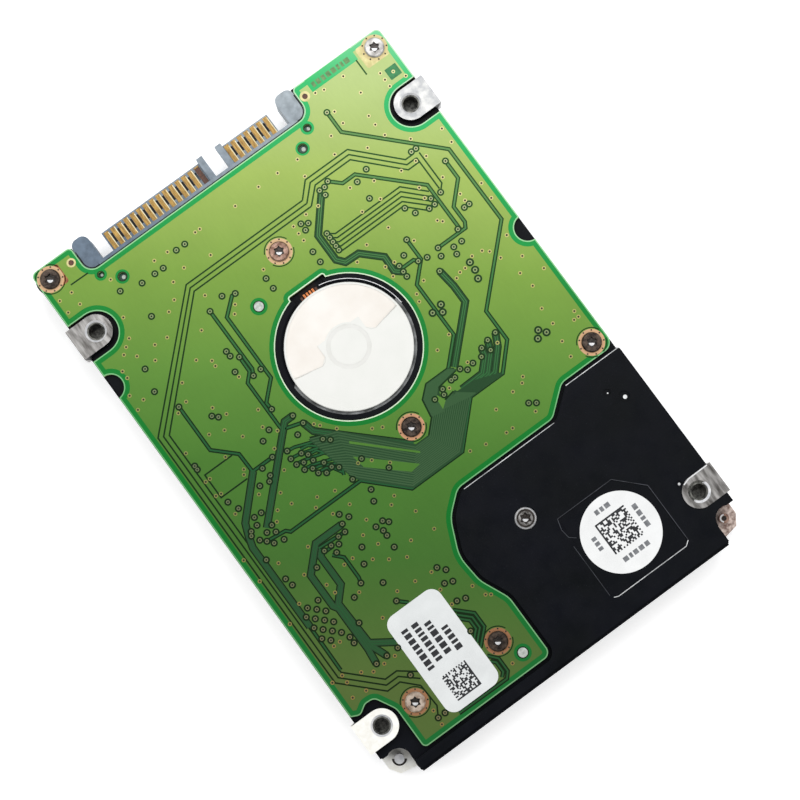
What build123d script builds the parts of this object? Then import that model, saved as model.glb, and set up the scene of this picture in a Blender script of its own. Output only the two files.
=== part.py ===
from build123d import *
from math import cos, radians, sin
import os

# 2.5-inch hard disk drive, 9.5 mm high, lying on its cover with the circuit board up.
# +Z points out of the board side, +Y towards the connector, +X across the width.
# The origin is at the middle of the cover's outer face. Millimetres and degrees.

# ---------------------------------------------------------------- case
WIDTH = 69.85
HALF_WIDTH = WIDTH / 2
FRONT = 50.1
REAR = -50.1
HEIGHT = 9.5
COVER_T = 0.5
GASKET_TOP = 0.8
FLOOR_IN = 6.6
FLOOR_OUT = 7.4
BAY_FLOOR = 7.6
RAISED_TOP = 9.3
WALL_STEP = 6.0
LOWER_HALF = 34.35
UPPER_HALF = 33.9
EAR_TOP = 3.2
NOTCH_X = (-26.5, 17.0)
NOTCH_Y = 44.2
THREAD_R = 0.8
SMALL_THREAD_R = 0.6
PIVOT_SEAT = 8.7
LABEL_SEAT = 9.15
DISH = 0.45
BREATHER = (-22.0, -43.0)

# ---------------------------------------------------------------- mounting holes
MOUNT_X = 30.86
MOUNT_Y = (36.1, -40.5)
M3_R = 1.25
LUG_R = 2.7
SIDE_HOLE_Z = HEIGHT - 3.0
SIDE_HOLE_DEPTH = 2.4

# ---------------------------------------------------------------- circuit board
BOARD = (8.1, 8.9)
MOTOR_HOLE_R = 11.7
LUG_CLEAR_Y = 35.9
LUG_CLEAR_R = 3.45
EDGE_NOTCHES = ((-34.2, 27.5, 2.1), (34.1, 9.1, 2.15))
PIN_R = 0.8
BOARD_SCREWS = ((-31.9, 47.2), (31.6, 46.9), (0.0, 29.3), (0.45, -5.6),
                (31.35, -11.65), (-24.5, -40.65), (-8.5, -40.7))
BOARD_PINS = ((-7.75, 24.1), (-6.4, -44.4))
BOARD_TOOLING = ((-25.0, 43.1, 0.45), (-22.4, 40.8, 0.65), (15.3, 42.75, 0.55),
                 (12.75, 40.5, 0.7), (-27.7, 47.4, 0.35), (18.0, 47.1, 0.4))

# ---------------------------------------------------------------- spindle and disks
SPINDLE = (0.0, 10.5)
PLATTER_R = 32.5
PLATTER_T = 0.635
DISK_Z = (2.38, 4.715)
HUB_R = 10.0
FLANGE_R = 11.6
FLANGE = (5.35, 6.15)
SHAFT_R = 1.25
MOTOR_R = 10.3
MOTOR_FACE = 9.2
SLEEVE_R = 2.9
CAP_SEAT = 8.7
LEADS = (7.9, 8.0)
LEAD_START = 19.6
CORE = (5.7, 6.9)
SLOTS = 9
CLAMP_FACE = 1.65
CLAMP_SCREWS_R = 6.4

# ---------------------------------------------------------------- actuator
PIVOT = (6.4, -27.8)
PIVOT_SHAFT_R = 1.6
ARM_ANGLE = 159.3
COIL_ANGLE = -26.0
COIL_HALF = 17.0
BLOCK_R = 5.4
BLOCK = (1.35, 6.4)
ARMS = ((1.35, 1.9), (3.515, 4.215), (5.85, 6.4))
SUSPENSIONS = ((1.9, 2.05), (3.365, 3.515), (4.215, 4.365), (5.7, 5.85))
SLIDERS = (2.05, 3.135, 4.365, 5.47)
SLIDER_T = 0.23
ARM_LENGTH = 24.5
HEAD_R = 33.0
TAB_END = 35.3
COIL = (3.2, 4.9)

# ---------------------------------------------------------------- voice coil motor
YOKE_LOW = (0.9, 1.9)
YOKE_SEAT = 1.4
MAGNET_LOW = (1.9, 2.8)
MAGNET_HIGH = (5.3, 6.4)
YOKE_HIGH = (6.4, BAY_FLOOR)
YOKE_POSTS = ((5.8, -44.8), (25.35, -26.5), (16.9, -46.0))
STOPS = ((20.4, -28.17), (6.9, -41.8))
LATCH = (30.3, -35.9)
LATCH_Z = (3.4, 5.0)

# ---------------------------------------------------------------- cover screws: x, y, end of thread
EARS = ((-32.0, -46.65), (32.15, -46.6))
MID_BOSSES = ((-31.0, -26.0), (31.0, -17.5))
MID_BOSS_R = 4.2
COVER_SCREWS = ((-31.5, 46.5, 4.0), (31.5, 46.5, 4.0), (*EARS[0], 4.5), (*EARS[1], 4.5),
                (*MID_BOSSES[0], 4.0), (*MID_BOSSES[1], 4.0), (*PIVOT, 2.4))

# ---------------------------------------------------------------- connector
PITCH = 1.27
CONTACT_HALF = 0.42
SLOT_HALF = 0.16
POWER_X = -20.5
POWER_COUNT = 15
SIGNAL_X = 3.25
SIGNAL_COUNT = 7
TONGUE = (5.3, 6.5)
BLADE_UNDER = 0.12
POST = (3.6, 8.6)

# ---------------------------------------------------------------- head connector
PLUG = (-17.9, -14.7, -42.7, -30.8)


# ================================================================ helpers
def disc(radius, low, high, x=0.0, y=0.0):
    """Upright cylinder between two heights."""
    align = (Align.CENTER, Align.CENTER, Align.MIN)
    return Pos(x, y, low) * Cylinder(radius, high - low, align=align)


def ring(outer, inner, low, high, x=0.0, y=0.0):
    """Upright tube between two heights."""
    return disc(outer, low, high, x, y) - disc(inner, low, high, x, y)


def box(x0, x1, y0, y1, low, high):
    """Box from its six faces."""
    corner = (Align.MIN, Align.MIN, Align.MIN)
    return Pos(x0, y0, low) * Box(x1 - x0, y1 - y0, high - low, align=corner)


def prism(face, low, high):
    """Flat face drawn at height zero, raised between two heights."""
    return Pos(0, 0, low) * extrude(face, high - low)


def polygon(points):
    """Face inside straight lines."""
    return make_face(Polyline(*points, close=True))


def smooth_polygon(corners):
    """Face inside straight lines, from rows of x, y and corner radius."""
    points = [(x, y) for x, y, _ in corners]
    return make_face(FilletPolyline(*points, radius=[r for _, _, r in corners], close=True))


def rounded(x0, x1, y0, y1, radius):
    """Rectangular face with round corners."""
    centre = Pos((x0 + x1) / 2, (y0 + y1) / 2)
    return centre * RectangleRounded(x1 - x0, y1 - y0, radius)


def polar(radius, angle):
    """Point at a radius and an angle."""
    return (radius * cos(radians(angle)), radius * sin(radians(angle)))


def sector(inner, outer, start, end):
    """Face between two radii and two angles, about the origin."""
    middle = (start + end) / 2
    return make_face([
        Line(polar(inner, start), polar(outer, start)),
        ThreePointArc(polar(outer, start), polar(outer, middle), polar(outer, end)),
        Line(polar(outer, end), polar(inner, end)),
        ThreePointArc(polar(inner, end), polar(inner, middle), polar(inner, start)),
    ])


def at_pivot(shape, angle=0.0):
    """Shape drawn about the origin, turned and set on the actuator's axis."""
    return Pos(PIVOT[0], PIVOT[1], 0) * Rot(0, 0, angle) * shape


def at_spindle(shape, angle=0.0):
    """Shape drawn about the origin, turned and set on the spindle's axis."""
    return Pos(SPINDLE[0], SPINDLE[1], 0) * Rot(0, 0, angle) * shape


def star(outer, inner):
    """Six-lobed driver socket."""
    return polygon([polar(outer if i % 2 == 0 else inner, 30 * i) for i in range(12)])


def screw(x, y, seat, head_r, head_h, shank_r, length, down=False):
    """Pan-head screw with a star socket. Its head is above the seat, or below it if down."""
    head = disc(head_r, 0, head_h)
    head = chamfer(head.edges().sort_by(Axis.Z)[-1], min(0.25, head_h * 0.45))
    body = head + disc(shank_r, -length, 0)
    body -= prism(star(head_r * 0.58, head_r * 0.40), head_h * 0.15, head_h + 1)
    turn = Rot(180, 0, 0) if down else Rot(0, 0, 0)
    return Pos(x, y, seat) * turn * body


def save(node, *pieces):
    """Write one sub-part, which may be several separate solids."""
    shape = pieces[0] if len(pieces) == 1 else Compound(children=list(pieces))
    export_step(shape, f"parts/{node}.step")


# ================================================================ shared outlines
def board_outline():
    """Circuit board face with its motor hole and edge notches, without its small holes."""
    face = smooth_polygon([
        (-34.1, 49.6, 1.0), (-26.4, 49.6, 0.8), (-26.4, 44.35, 1.9), (16.9, 44.35, 2.0),
        (16.9, 49.3, 0.8), (34.0, 49.3, 1.0), (34.0, -14.05, 1.7), (23.7, -14.05, 2.0),
        (19.2, -17.75, 2.0), (0.6, -17.75, 2.5), (-3.0, -20.8, 6.0), (-5.5, -26.5, 6.0),
        (-5.1, -31.4, 5.0), (-2.95, -36.2, 4.0), (-2.95, -47.25, 1.3), (-27.55, -47.25, 0.8),
        (-27.55, -39.8, 2.5), (-29.4, -36.4, 1.2), (-31.0, -36.3, 1.0),
        (-32.6, -37.3, 1.0), (-34.1, -36.6, 0.4),
    ])
    for side in (-1, 1):
        face -= Pos(side * MOUNT_X, LUG_CLEAR_Y) * Circle(LUG_CLEAR_R)
        face -= Pos(side * (MOUNT_X + 3), LUG_CLEAR_Y) * Rectangle(6, 2 * LUG_CLEAR_R)
    for x, y, r in EDGE_NOTCHES:
        face -= Pos(x, y) * Circle(r)
    face -= Pos(*SPINDLE) * Circle(MOTOR_HOLE_R)
    face -= rounded(-3.2, 3.5, 18.0, 22.4, 0.3)
    return face


def board_room(gap):
    """Sunk area of the casting under the board's parts, drawn in by a gap."""
    face = rounded(-32.6 + gap, 32.6 - gap, -12.9 + gap, 42.8 - gap, 1.0)
    face += rounded(-26.2 + gap, -6.4 - gap, -45.9 + gap, -11.0, 1.0)
    face += rounded(-32.6 + gap, -6.8 - gap, -35.2 + gap, -11.0, 1.0)
    face -= Pos(*SPINDLE) * Circle(12.6 + gap)
    for side in (-1, 1):
        face -= Pos(side * MOUNT_X, LUG_CLEAR_Y) * Rectangle(9.4 + 2 * gap, 9.2 + 2 * gap)
    for x, y, _ in EDGE_NOTCHES:
        face -= Pos(x, y) * Circle(3.4 + gap)
    return face


def cavity_outline():
    """Sealed space: the round bowl of the disks and the bay of the actuator."""
    face = Pos(*SPINDLE) * Circle(33.2)
    face += rounded(-32.4, 32.4, -37.6, -2.0, 2.0)
    face += rounded(-28.3, 28.3, -47.5, -30.0, 2.0)
    for x, y in MID_BOSSES:
        face -= Pos(x, y) * Circle(MID_BOSS_R)
        face -= Pos(x * 1.12, y) * Rectangle(6, 2 * MID_BOSS_R)
    return face


def case_outline(half, rear, front, radius):
    """Footprint of the case, open round the connector, with cut rear corners."""
    face = rounded(-half, half, rear, front, radius)
    face -= Pos((NOTCH_X[0] + NOTCH_X[1]) / 2, NOTCH_Y + 5) * Rectangle(
        NOTCH_X[1] - NOTCH_X[0], 10)
    for side in (-1, 1):
        beyond = [(36.0, -47.0), (34.4, -47.0), (33.2, -48.8), (30.4, -49.3),
                  (29.8, -49.9), (29.8, -51.0), (36.0, -51.0)]
        face -= polygon([(side * x, y) for x, y in beyond])
    return face


# ================================================================ case
def base_casting():
    """Die-cast tray: floor, walls, motor seat, raised rear area, lugs and screw seats."""
    board_seat = BOARD[0]
    outline = board_outline()
    body = prism(case_outline(LOWER_HALF, REAR, 49.9, 1.5), GASKET_TOP, WALL_STEP)
    body += prism(case_outline(UPPER_HALF, REAR, 49.1, 1.5), WALL_STEP, board_seat)

    raised = rounded(-7.0, LOWER_HALF, -49.5, -14.6, 0.6) - offset(outline, amount=0.6)
    raised += rounded(-30.0, LOWER_HALF, -49.5, -47.85, 0.6)
    body += prism(raised, WALL_STEP, RAISED_TOP)

    # room for the parts under the board, and what the board is screwed to
    body -= prism(board_room(0), FLOOR_OUT, board_seat)
    body -= box(-22.0, 12.4, 42.0, NOTCH_Y, FLOOR_OUT, board_seat)
    for x, y in BOARD_SCREWS:
        body += disc(2.5, FLOOR_OUT, board_seat, x, y)
        body -= disc(THREAD_R, 6.9, board_seat, x, y)
    for x, y in BOARD_PINS:
        body += disc(PIN_R, FLOOR_OUT, 9.0, x, y)
    body += at_spindle(ring(11.6, 9.9, FLOOR_IN, 9.1))

    # sealed space from below
    body -= prism(cavity_outline(), GASKET_TOP, FLOOR_IN)
    bay = rounded(2.5, 32.2, -37.4, -24.9, 1.0) + rounded(2.5, 28.2, -47.4, -32.0, 1.0)
    bay += Pos(*PIVOT) * Circle(7.5)
    body -= prism(bay, FLOOR_IN - 0.01, BAY_FLOOR)

    # motor bore with its bright chamfer, and the slot for the motor leads
    body -= at_spindle(disc(MOTOR_R, GASKET_TOP, RAISED_TOP))
    body -= at_spindle(Pos(0, 0, 8.6) * Cone(MOTOR_R, MOTOR_R + 0.6, 0.6, align=(
        Align.CENTER, Align.CENTER, Align.MIN)))
    body -= box(-2.9, 2.9, 20.0, 23.4, 7.9, RAISED_TOP)

    # lugs with their bare pads down the sides
    for x in (-MOUNT_X, MOUNT_X):
        side = 1 if x > 0 else -1
        for y in MOUNT_Y:
            body += disc(LUG_R, FLOOR_OUT, HEIGHT, x, y)
            edges = sorted((x, side * HALF_WIDTH))
            body += box(edges[0], edges[1], y - LUG_R, y + LUG_R, 5.0, HEIGHT)
            body -= disc(M3_R, SIDE_HOLE_Z, HEIGHT, x, y)
            body -= Pos(x, y, HEIGHT - 0.5) * Cone(M3_R, 1.75, 0.5, align=(
                Align.CENTER, Align.CENTER, Align.MIN))
            drill = Cylinder(M3_R, SIDE_HOLE_DEPTH, rotation=(0, 90, 0))
            body -= Pos(side * (HALF_WIDTH - SIDE_HOLE_DEPTH / 2), y, SIDE_HOLE_Z) * drill

    # rear corners are cut down to the ears that the cover screws come through
    for x, y in EARS:
        outward = 1 if x > 0 else -1
        room = Pos(x, y) * Circle(2.05)
        room += Pos(x + outward * 3, y - 1.5) * Rectangle(6, 6.6)
        room += Pos(outward * 33, y - 3) * Rectangle(6, 6)
        body -= prism(room, EAR_TOP, HEIGHT + 1)
    for x, y, end in COVER_SCREWS[:-1]:
        body -= disc(THREAD_R, GASKET_TOP, end, x, y)

    # pivot screw seat, shallow recess under the round label, and casting dimples
    body -= disc(1.85, PIVOT_SEAT, RAISED_TOP, *PIVOT)
    body -= disc(THREAD_R, BAY_FLOOR, PIVOT_SEAT, *PIVOT)
    recess = smooth_polygon([
        (10.4, -30.9, 0.5), (20.8, -30.9, 0.5), (24.9, -35.0, 0.5), (24.9, -45.3, 0.4),
        (24.2, -46.05, 0.4), (10.8, -46.05, 0.4), (9.9, -45.3, 0.4),
    ])
    body -= prism(recess, LABEL_SEAT, RAISED_TOP)
    for x, y, r in ((30.35, -21.55, 0.9), (28.5, -19.5, 0.6), (29.0, -37.75, 0.6)):
        body -= disc(r, 9.1, RAISED_TOP, x, y)

    # holes through the floor: head connector
    body -= box(-18.3, -14.3, -43.2, -30.3, FLOOR_IN - 0.1, FLOOR_OUT + 0.8)
    save("base_casting", body)


def top_cover():
    """Stamped cover with dished screw seats, a raised ring and a label recess."""
    plate = prism(case_outline(34.4, REAR, 49.9, 1.6), 0, COVER_T)
    plate -= at_spindle(ring(29.0, 27.6, 0, 0.15))
    plate -= prism(rounded(-24.0, 24.0, -20.0, 38.0, 1.5), 0, 0.1)
    for x, y, _ in COVER_SCREWS:
        plate += disc(2.15, COVER_T, GASKET_TOP, x, y)
        plate -= disc(1.95, 0, DISH, x, y)
        plate -= disc(THREAD_R, 0, GASKET_TOP, x, y)
    plate -= disc(0.5, 0, COVER_T, *BREATHER)
    plate -= disc(1.2, 0, 0.15, *BREATHER)
    save("top_cover", plate)


def gasket():
    """Foam ring pressed between the cover and the casting's rim."""
    path = offset(cavity_outline(), amount=1.0) - cavity_outline()
    path = path & case_outline(34.2, -49.8, 49.6, 1.0)
    for x, y, _ in COVER_SCREWS:
        path -= Pos(x, y) * Circle(2.75)
    save("cover_gasket", prism(path, COVER_T, GASKET_TOP))


def cover_screws():
    """Seven screws in the dished seats of the cover."""
    heads = [screw(x, y, DISH, 1.7, 0.4, THREAD_R, end - DISH, down=True)
             for x, y, end in COVER_SCREWS]
    save("cover_screws", *heads)


def labels():
    """Paper labels on the board, the casting and the cover."""
    save("board_label", prism(rounded(-21.33, -11.33, -45.83, -27.67, 1.8), BOARD[1], 8.96))
    save("round_label", prism(Pos(17.2, -38.4) * Circle(6.5), LABEL_SEAT, LABEL_SEAT + 0.08))
    save("cover_label", prism(rounded(-23.7, 23.7, -19.7, 37.7, 1.3), 0.02, 0.1))


def filters():
    """Breather filter under the cover's hole, and the filter in the air stream."""
    breather = prism(rounded(-26.0, -17.0, -46.0, -40.0, 0.8), COVER_T, 2.2)
    breather -= disc(0.6, COVER_T, 1.4, *BREATHER)
    save("breather_filter", breather)
    pad = Pos(22.5, -20.0, 3.9) * Rot(0, 0, 36) * Box(7.0, 2.0, 5.4)
    save("recirculation_filter", pad)


# ================================================================ circuit board
def circuit_board():
    """Laminate with its screw holes, locating holes and tooling holes."""
    face = board_outline()
    for x, y in BOARD_SCREWS:
        face -= Pos(x, y) * Circle(THREAD_R)
    for x, y in BOARD_PINS:
        face -= Pos(x, y) * Circle(PIN_R + 0.1)
    for x, y, r in BOARD_TOOLING:
        face -= Pos(x, y) * Circle(r)
    save("pcb_board", prism(face, *BOARD))
    save("pcb_screws", *[screw(x, y, BOARD[1], 1.62, 0.45, THREAD_R, 2.0)
                         for x, y in BOARD_SCREWS])


def chip(x, y, width, depth, thickness=0.6):
    """Plastic package hanging under the board, with its edges drawn in."""
    body = box(x - width / 2, x + width / 2, y - depth / 2, y + depth / 2,
               BOARD[0] - thickness, BOARD[0])
    return chamfer(body.faces().sort_by(Axis.Z)[0].edges(), 0.12)


def board_parts():
    """Chips, passives, sockets and the insulating sheet under the board."""
    save("controller_chip", chip(-19.5, -4.0, 12.0, 12.0))
    save("memory_chips", chip(-26.0, -21.5, 9.0, 11.0), chip(21.0, 25.0, 5.2, 6.0))
    save("motor_driver_chip", chip(23.4, 7.5, 8.0, 8.0))
    rows = ((-27.0, 14.0, 4), (-27.0, 20.0, 4), (14.0, 36.0, 5), (-18.0, 36.0, 5),
            (8.0, -9.5, 4), (25.5, -6.0, 2))
    passives = [chip(x + 2.1 * i, y, 1.0, 0.5, 0.5) for x, y, count in rows
                for i in range(count)]
    save("board_passives", *passives)
    save("motor_contact_block", chip(0.0, 25.6, 4.6, 2.0))

    sheet = board_room(0.3)
    sheet -= rounded(-4.6, 4.8, 18.0, 27.4, 0.5)
    for x, y in BOARD_SCREWS:
        sheet -= Pos(x, y) * Circle(2.8)
    for x, y in BOARD_PINS:
        sheet -= Pos(x, y) * Circle(PIN_R + 0.3)
    sheet -= rounded(-18.6, -14.0, -43.5, -30.0, 0.3)
    save("board_insulator", prism(sheet, FLOOR_OUT, 7.46))

    socket = box(-17.8, -14.8, -42.6, -30.9, 7.5, BOARD[0])
    socket -= box(-16.9, -15.7, -42.0, -31.5, 7.5, 7.9)
    save("head_connector_socket", socket)


def contact(x):
    """Blade on the tongue, its riser, and its tail soldered under the board."""
    left, right = x - CONTACT_HALF, x + CONTACT_HALF
    blade = box(left, right, 44.75, 48.7, TONGUE[1] - BLADE_UNDER, TONGUE[1] + 0.08)
    riser = box(left, right, 44.6, 44.75, TONGUE[1] - BLADE_UNDER, BOARD[0])
    tail = box(left, right, 43.3, 44.75, BOARD[0] - 0.15, BOARD[0])
    return blade + riser + tail


def connector():
    """Housing with two tongues, guide posts and key walls, and its 22 contacts."""
    low, high = POST
    body = box(-26.3, 16.8, 44.25, 45.1, low, BOARD[0])
    body += box(-24.2, 14.7, 44.45, 45.1, BOARD[0] - 0.1, 8.7)
    for x0, x1, end in ((-21.2, -0.9, 49.0), (1.6, 11.5, 49.0)):
        tongue = box(x0, x1, 45.0, end, *TONGUE)
        body += chamfer(tongue.edges().filter_by(Axis.X).group_by(Axis.Y)[-1], 0.3)
    body += box(-2.0, -0.9, 45.0, 49.5, 4.6, 7.2)
    body += box(1.6, 2.7, 45.0, 49.4, 4.6, 7.2)
    for x0, x1, end in ((-26.3, -23.3, FRONT), (13.5, 16.8, 49.9)):
        post = box(x0, x1, 44.7, end, low, high)
        body += fillet(post.edges().filter_by(Axis.Z).group_by(Axis.Y)[-1], 1.2)
    body -= prism(offset(board_outline(), amount=0.06), BOARD[0], HEIGHT)
    power = [contact(POWER_X + PITCH * i) for i in range(POWER_COUNT)]
    signal = [contact(SIGNAL_X + PITCH * i) for i in range(SIGNAL_COUNT)]
    slots = [POWER_X + PITCH * (i + 0.5) for i in range(POWER_COUNT - 1)]
    slots += [SIGNAL_X + PITCH * (i + 0.5) for i in range(SIGNAL_COUNT - 1)]
    for x in slots:
        body -= box(x - SLOT_HALF, x + SLOT_HALF, 46.5, 48.0, TONGUE[1] - 0.5, TONGUE[1])
    for blade in power + signal:
        body -= blade
    save("connector_housing", body)
    save("power_contacts", *power)
    save("signal_contacts", *signal)


# ================================================================ spindle motor
def motor_fixed_parts():
    """Motor base, leads, stator, bearing sleeve and end cap, which stay with the case."""
    base = disc(MOTOR_R, 7.6, MOTOR_FACE) + disc(3.9, 5.2, 7.7)
    base -= disc(SLEEVE_R, 5.0, MOTOR_FACE)
    base = chamfer(base.edges().filter_by(GeomType.CIRCLE).sort_by(Axis.Z)[-2:].sort_by(
        SortBy.RADIUS)[-1], 0.1)
    relief = Circle(9.95) & smooth_polygon([
        (-12.0, 1.1, 0), (-5.2, -0.1, 0.9), (-4.0, 0.9, 0.5), (-4.0, 3.0, 0.1), (4.0, 3.0, 0.1),
        (4.0, 0.9, 0.5), (5.2, -0.1, 0.9), (12.0, 1.1, 0), (12.0, 12.0, 0), (-12.0, 12.0, 0)])
    relief -= Circle(3.9)
    base -= prism(relief, MOTOR_FACE - 0.12, MOTOR_FACE)
    base -= ring(3.6, SLEEVE_R, MOTOR_FACE - 0.05, MOTOR_FACE)
    base = at_spindle(base)
    base -= box(-1.6, 1.6, LEAD_START, 22.0, *LEADS)
    save("motor_base", base)
    save("motor_flex", box(-1.6, 1.6, LEAD_START, 24.55, *LEADS))

    core = ring(4.9, 3.9, *CORE)
    windings = []
    for i in range(SLOTS):
        turn = Rot(0, 0, 360 / SLOTS * i + 10)
        tooth = box(4.6, 7.2, -0.55, 0.55, *CORE)
        shoe = prism(sector(7.1, 7.6, -16, 16), *CORE)
        core += turn * (tooth + shoe)
        winding = box(5.2, 7.0, -1.2, 1.2, CORE[0] - 0.45, CORE[1] + 0.45)
        windings.append(at_spindle(turn * (winding - tooth)))
    save("stator_core", at_spindle(core))
    save("stator_windings", *windings)

    sleeve = disc(SLEEVE_R, 4.5, CAP_SEAT) - disc(SHAFT_R + 0.02, 4.5, CAP_SEAT)
    sleeve -= disc(2.3, 8.15, CAP_SEAT)
    save("bearing_sleeve", at_spindle(sleeve))
    save("motor_end_cap", at_spindle(disc(SLEEVE_R, CAP_SEAT, MOTOR_FACE)))


def spindle():
    """Shaft, hub, rotor magnet and disk stack, which all turn together."""
    shaft = disc(SHAFT_R, DISK_Z[0], 8.6) + disc(2.2, 8.2, 8.6)
    save("spindle_shaft", at_spindle(shaft))
    hub = disc(HUB_R, DISK_Z[0], FLANGE[0]) + disc(FLANGE_R, *FLANGE)
    hub += disc(9.7, FLANGE[1], 7.3)
    hub -= disc(9.1, 4.3, 7.3)
    hub -= disc(SHAFT_R, DISK_Z[0], 4.3)
    screw_places = [polar(CLAMP_SCREWS_R, 60 * i) for i in range(6)]
    for x, y in screw_places:
        hub -= disc(SMALL_THREAD_R, DISK_Z[0], 4.0, x, y)
    save("spindle_hub", at_spindle(hub))
    save("rotor_magnet", at_spindle(ring(9.1, 7.95, 4.6, 7.2)))
    for name, low in zip(("platter_cover_side", "platter_board_side"), DISK_Z):
        save(name, at_spindle(ring(PLATTER_R, HUB_R, low, low + PLATTER_T)))
    save("platter_spacer", at_spindle(ring(12.2, HUB_R, DISK_Z[0] + PLATTER_T, DISK_Z[1])))
    clamp = disc(12.0, CLAMP_FACE, DISK_Z[0]) - disc(2.0, CLAMP_FACE, DISK_Z[0])
    clamp -= ring(9.6, 8.4, CLAMP_FACE, CLAMP_FACE + 0.2)
    for x, y in screw_places:
        clamp -= disc(SMALL_THREAD_R, CLAMP_FACE, DISK_Z[0], x, y)
    save("platter_clamp", at_spindle(clamp))
    heads = [at_spindle(screw(x, y, CLAMP_FACE, 1.2, 0.5, SMALL_THREAD_R, 2.35, down=True))
             for x, y in screw_places]
    save("clamp_screws", *heads)


# ================================================================ actuator
def bearing_parts():
    """Fixed shaft, two ball bearings and the turning sleeve of the pivot."""
    shaft = disc(PIVOT_SHAFT_R, GASKET_TOP, BAY_FLOOR, *PIVOT)
    shaft -= disc(THREAD_R, GASKET_TOP, 2.4, *PIVOT)
    shaft -= disc(THREAD_R, 6.2, BAY_FLOOR, *PIVOT)
    save("pivot_shaft", shaft)
    levels = ((1.6, 2.6), (5.3, 6.3))
    save("pivot_inner_races", *[ring(2.1, PIVOT_SHAFT_R, a, b, *PIVOT) for a, b in levels])
    save("pivot_outer_races", *[ring(3.5, 3.0, a, b, *PIVOT) for a, b in levels])
    balls = [Pos(*PIVOT) * Pos(*polar(2.55, 45 * i), (a + b) / 2) * Sphere(0.43)
             for a, b in levels for i in range(8)]
    save("pivot_balls", *balls)
    save("pivot_sleeve", ring(4.0, 3.5, 1.5, 6.4, *PIVOT))
    head = screw(*PIVOT, PIVOT_SEAT, 1.75, 0.55, THREAD_R, 2.5)
    save("pivot_screw", head)


def arm_face():
    """Tapered arm along +X with a lightening hole."""
    half = [(-1.0, 4.9), (8.0, 3.4), (20.0, 2.3), (ARM_LENGTH, 2.1)]
    face = polygon(half + [(x, -y) for x, y in reversed(half)])
    face -= smooth_polygon([(9.0, 2.0, 0.6), (18.5, 1.1, 0.5),
                            (18.5, -1.1, 0.5), (9.0, -2.0, 0.6)])
    return face


def actuator():
    """Arm block, coil, overmould, suspensions, sliders and preamplifier chip."""
    block = disc(BLOCK_R, *BLOCK)
    for level in ARMS:
        block += prism(arm_face(), *level)
    coil_turn = COIL_ANGLE - ARM_ANGLE
    block += Rot(0, 0, coil_turn) * prism(sector(4.8, 7.0, -24, 24), COIL[0] - 0.1, 5.1)
    block -= disc(4.0, *BLOCK)
    save("actuator_arm", at_pivot(block, ARM_ANGLE))

    window = sector(11.5, 16.0, -9, 9)
    loop = sector(9.0, 18.5, -COIL_HALF, COIL_HALF) - window
    save("voice_coil", at_pivot(prism(loop, *COIL), COIL_ANGLE))
    frame = sector(7.0, 19.4, -19, 19) - sector(9.0, 18.5, -COIL_HALF, COIL_HALF)
    frame += sector(19.3, 21.2, 17.5, 18.9)
    save("coil_overmould", at_pivot(prism(frame, COIL[0], 5.0), COIL_ANGLE))

    beam = [(19.5, 2.1), (24.5, 2.0), (31.6, 0.9), (32.0, 0.6), (34.0, 0.5),
            (34.0, 0.3), (TAB_END, 0.3)]
    beam_face = polygon(beam + [(x, -y) for x, y in reversed(beam)])
    save("suspensions", *[at_pivot(prism(beam_face, *z), ARM_ANGLE) for z in SUSPENSIONS])
    save("head_sliders", *[at_pivot(box(HEAD_R - 0.5, HEAD_R + 0.5, -0.4, 0.4, z, z + SLIDER_T),
                                    ARM_ANGLE) for z in SLIDERS])
    amp = box(5.2, 6.1, -1.1, 1.1, 2.6, 5.0) - disc(BLOCK_R, 0, HEIGHT)
    save("preamp_chip", at_pivot(amp, ARM_ANGLE + 95))


def flex():
    """Flex cable from the arm block to its bracket, with the plug through the floor."""
    start = (PIVOT[0] + polar(BLOCK_R + 0.1, 229)[0], PIVOT[1] + polar(BLOCK_R + 0.1, 229)[1])
    run = ThreePointArc(start, (-3.6, -36.6), (-9.4, -36.4))
    save("flex_cable", prism(trace(run, 0.12), 2.8, 5.4))
    bracket = prism(rounded(-21.0, -9.5, -44.5, -29.5, 1.0), 5.8, FLOOR_IN)
    bracket += box(-10.4, -9.5, -38.0, -34.8, 2.6, 5.9)
    bracket -= box(*PLUG, 5.8, FLOOR_IN)
    save("flex_bracket", bracket)
    plug = box(*PLUG, 5.8, 7.45)
    plug += box(-16.8, -15.8, -41.9, -31.6, 7.4, 7.85)
    save("head_connector_plug", plug)


# ================================================================ voice coil motor
def voice_coil_motor():
    """Two steel yokes with their magnets, spacers and screws, and the crash stops."""
    face = Pos(*PIVOT) * (Circle(23.0) - Circle(7.4))
    face = face & rounded(3.5, 27.9, -47.1, -25.0, 0.8)
    face -= Pos(*PIVOT) * Rectangle(14.8, 6.0)
    low = prism(face, *YOKE_LOW)
    for x, y in YOKE_POSTS:
        low -= disc(1.2, YOKE_LOW[0], YOKE_SEAT, x, y)
        low -= disc(SMALL_THREAD_R, *YOKE_LOW, x, y)
    save("yoke_cover_side", low)
    save("yoke_board_side", prism(face, *YOKE_HIGH))
    magnet = sector(9.5, 18.6, -74, -16)
    save("yoke_magnets", *[at_pivot(prism(magnet, *z)) for z in (MAGNET_LOW, MAGNET_HIGH)])
    save("yoke_spacers", *[ring(1.1, SMALL_THREAD_R, YOKE_LOW[1], YOKE_HIGH[0], x, y)
                           for x, y in YOKE_POSTS])
    save("yoke_screws", *[screw(x, y, YOKE_SEAT, 1.15, 0.4, SMALL_THREAD_R, 4.6, down=True)
                          for x, y in YOKE_POSTS])
    save("crash_stops", *[disc(1.1, YOKE_LOW[1], YOKE_HIGH[0], x, y) for x, y in STOPS])


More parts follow.
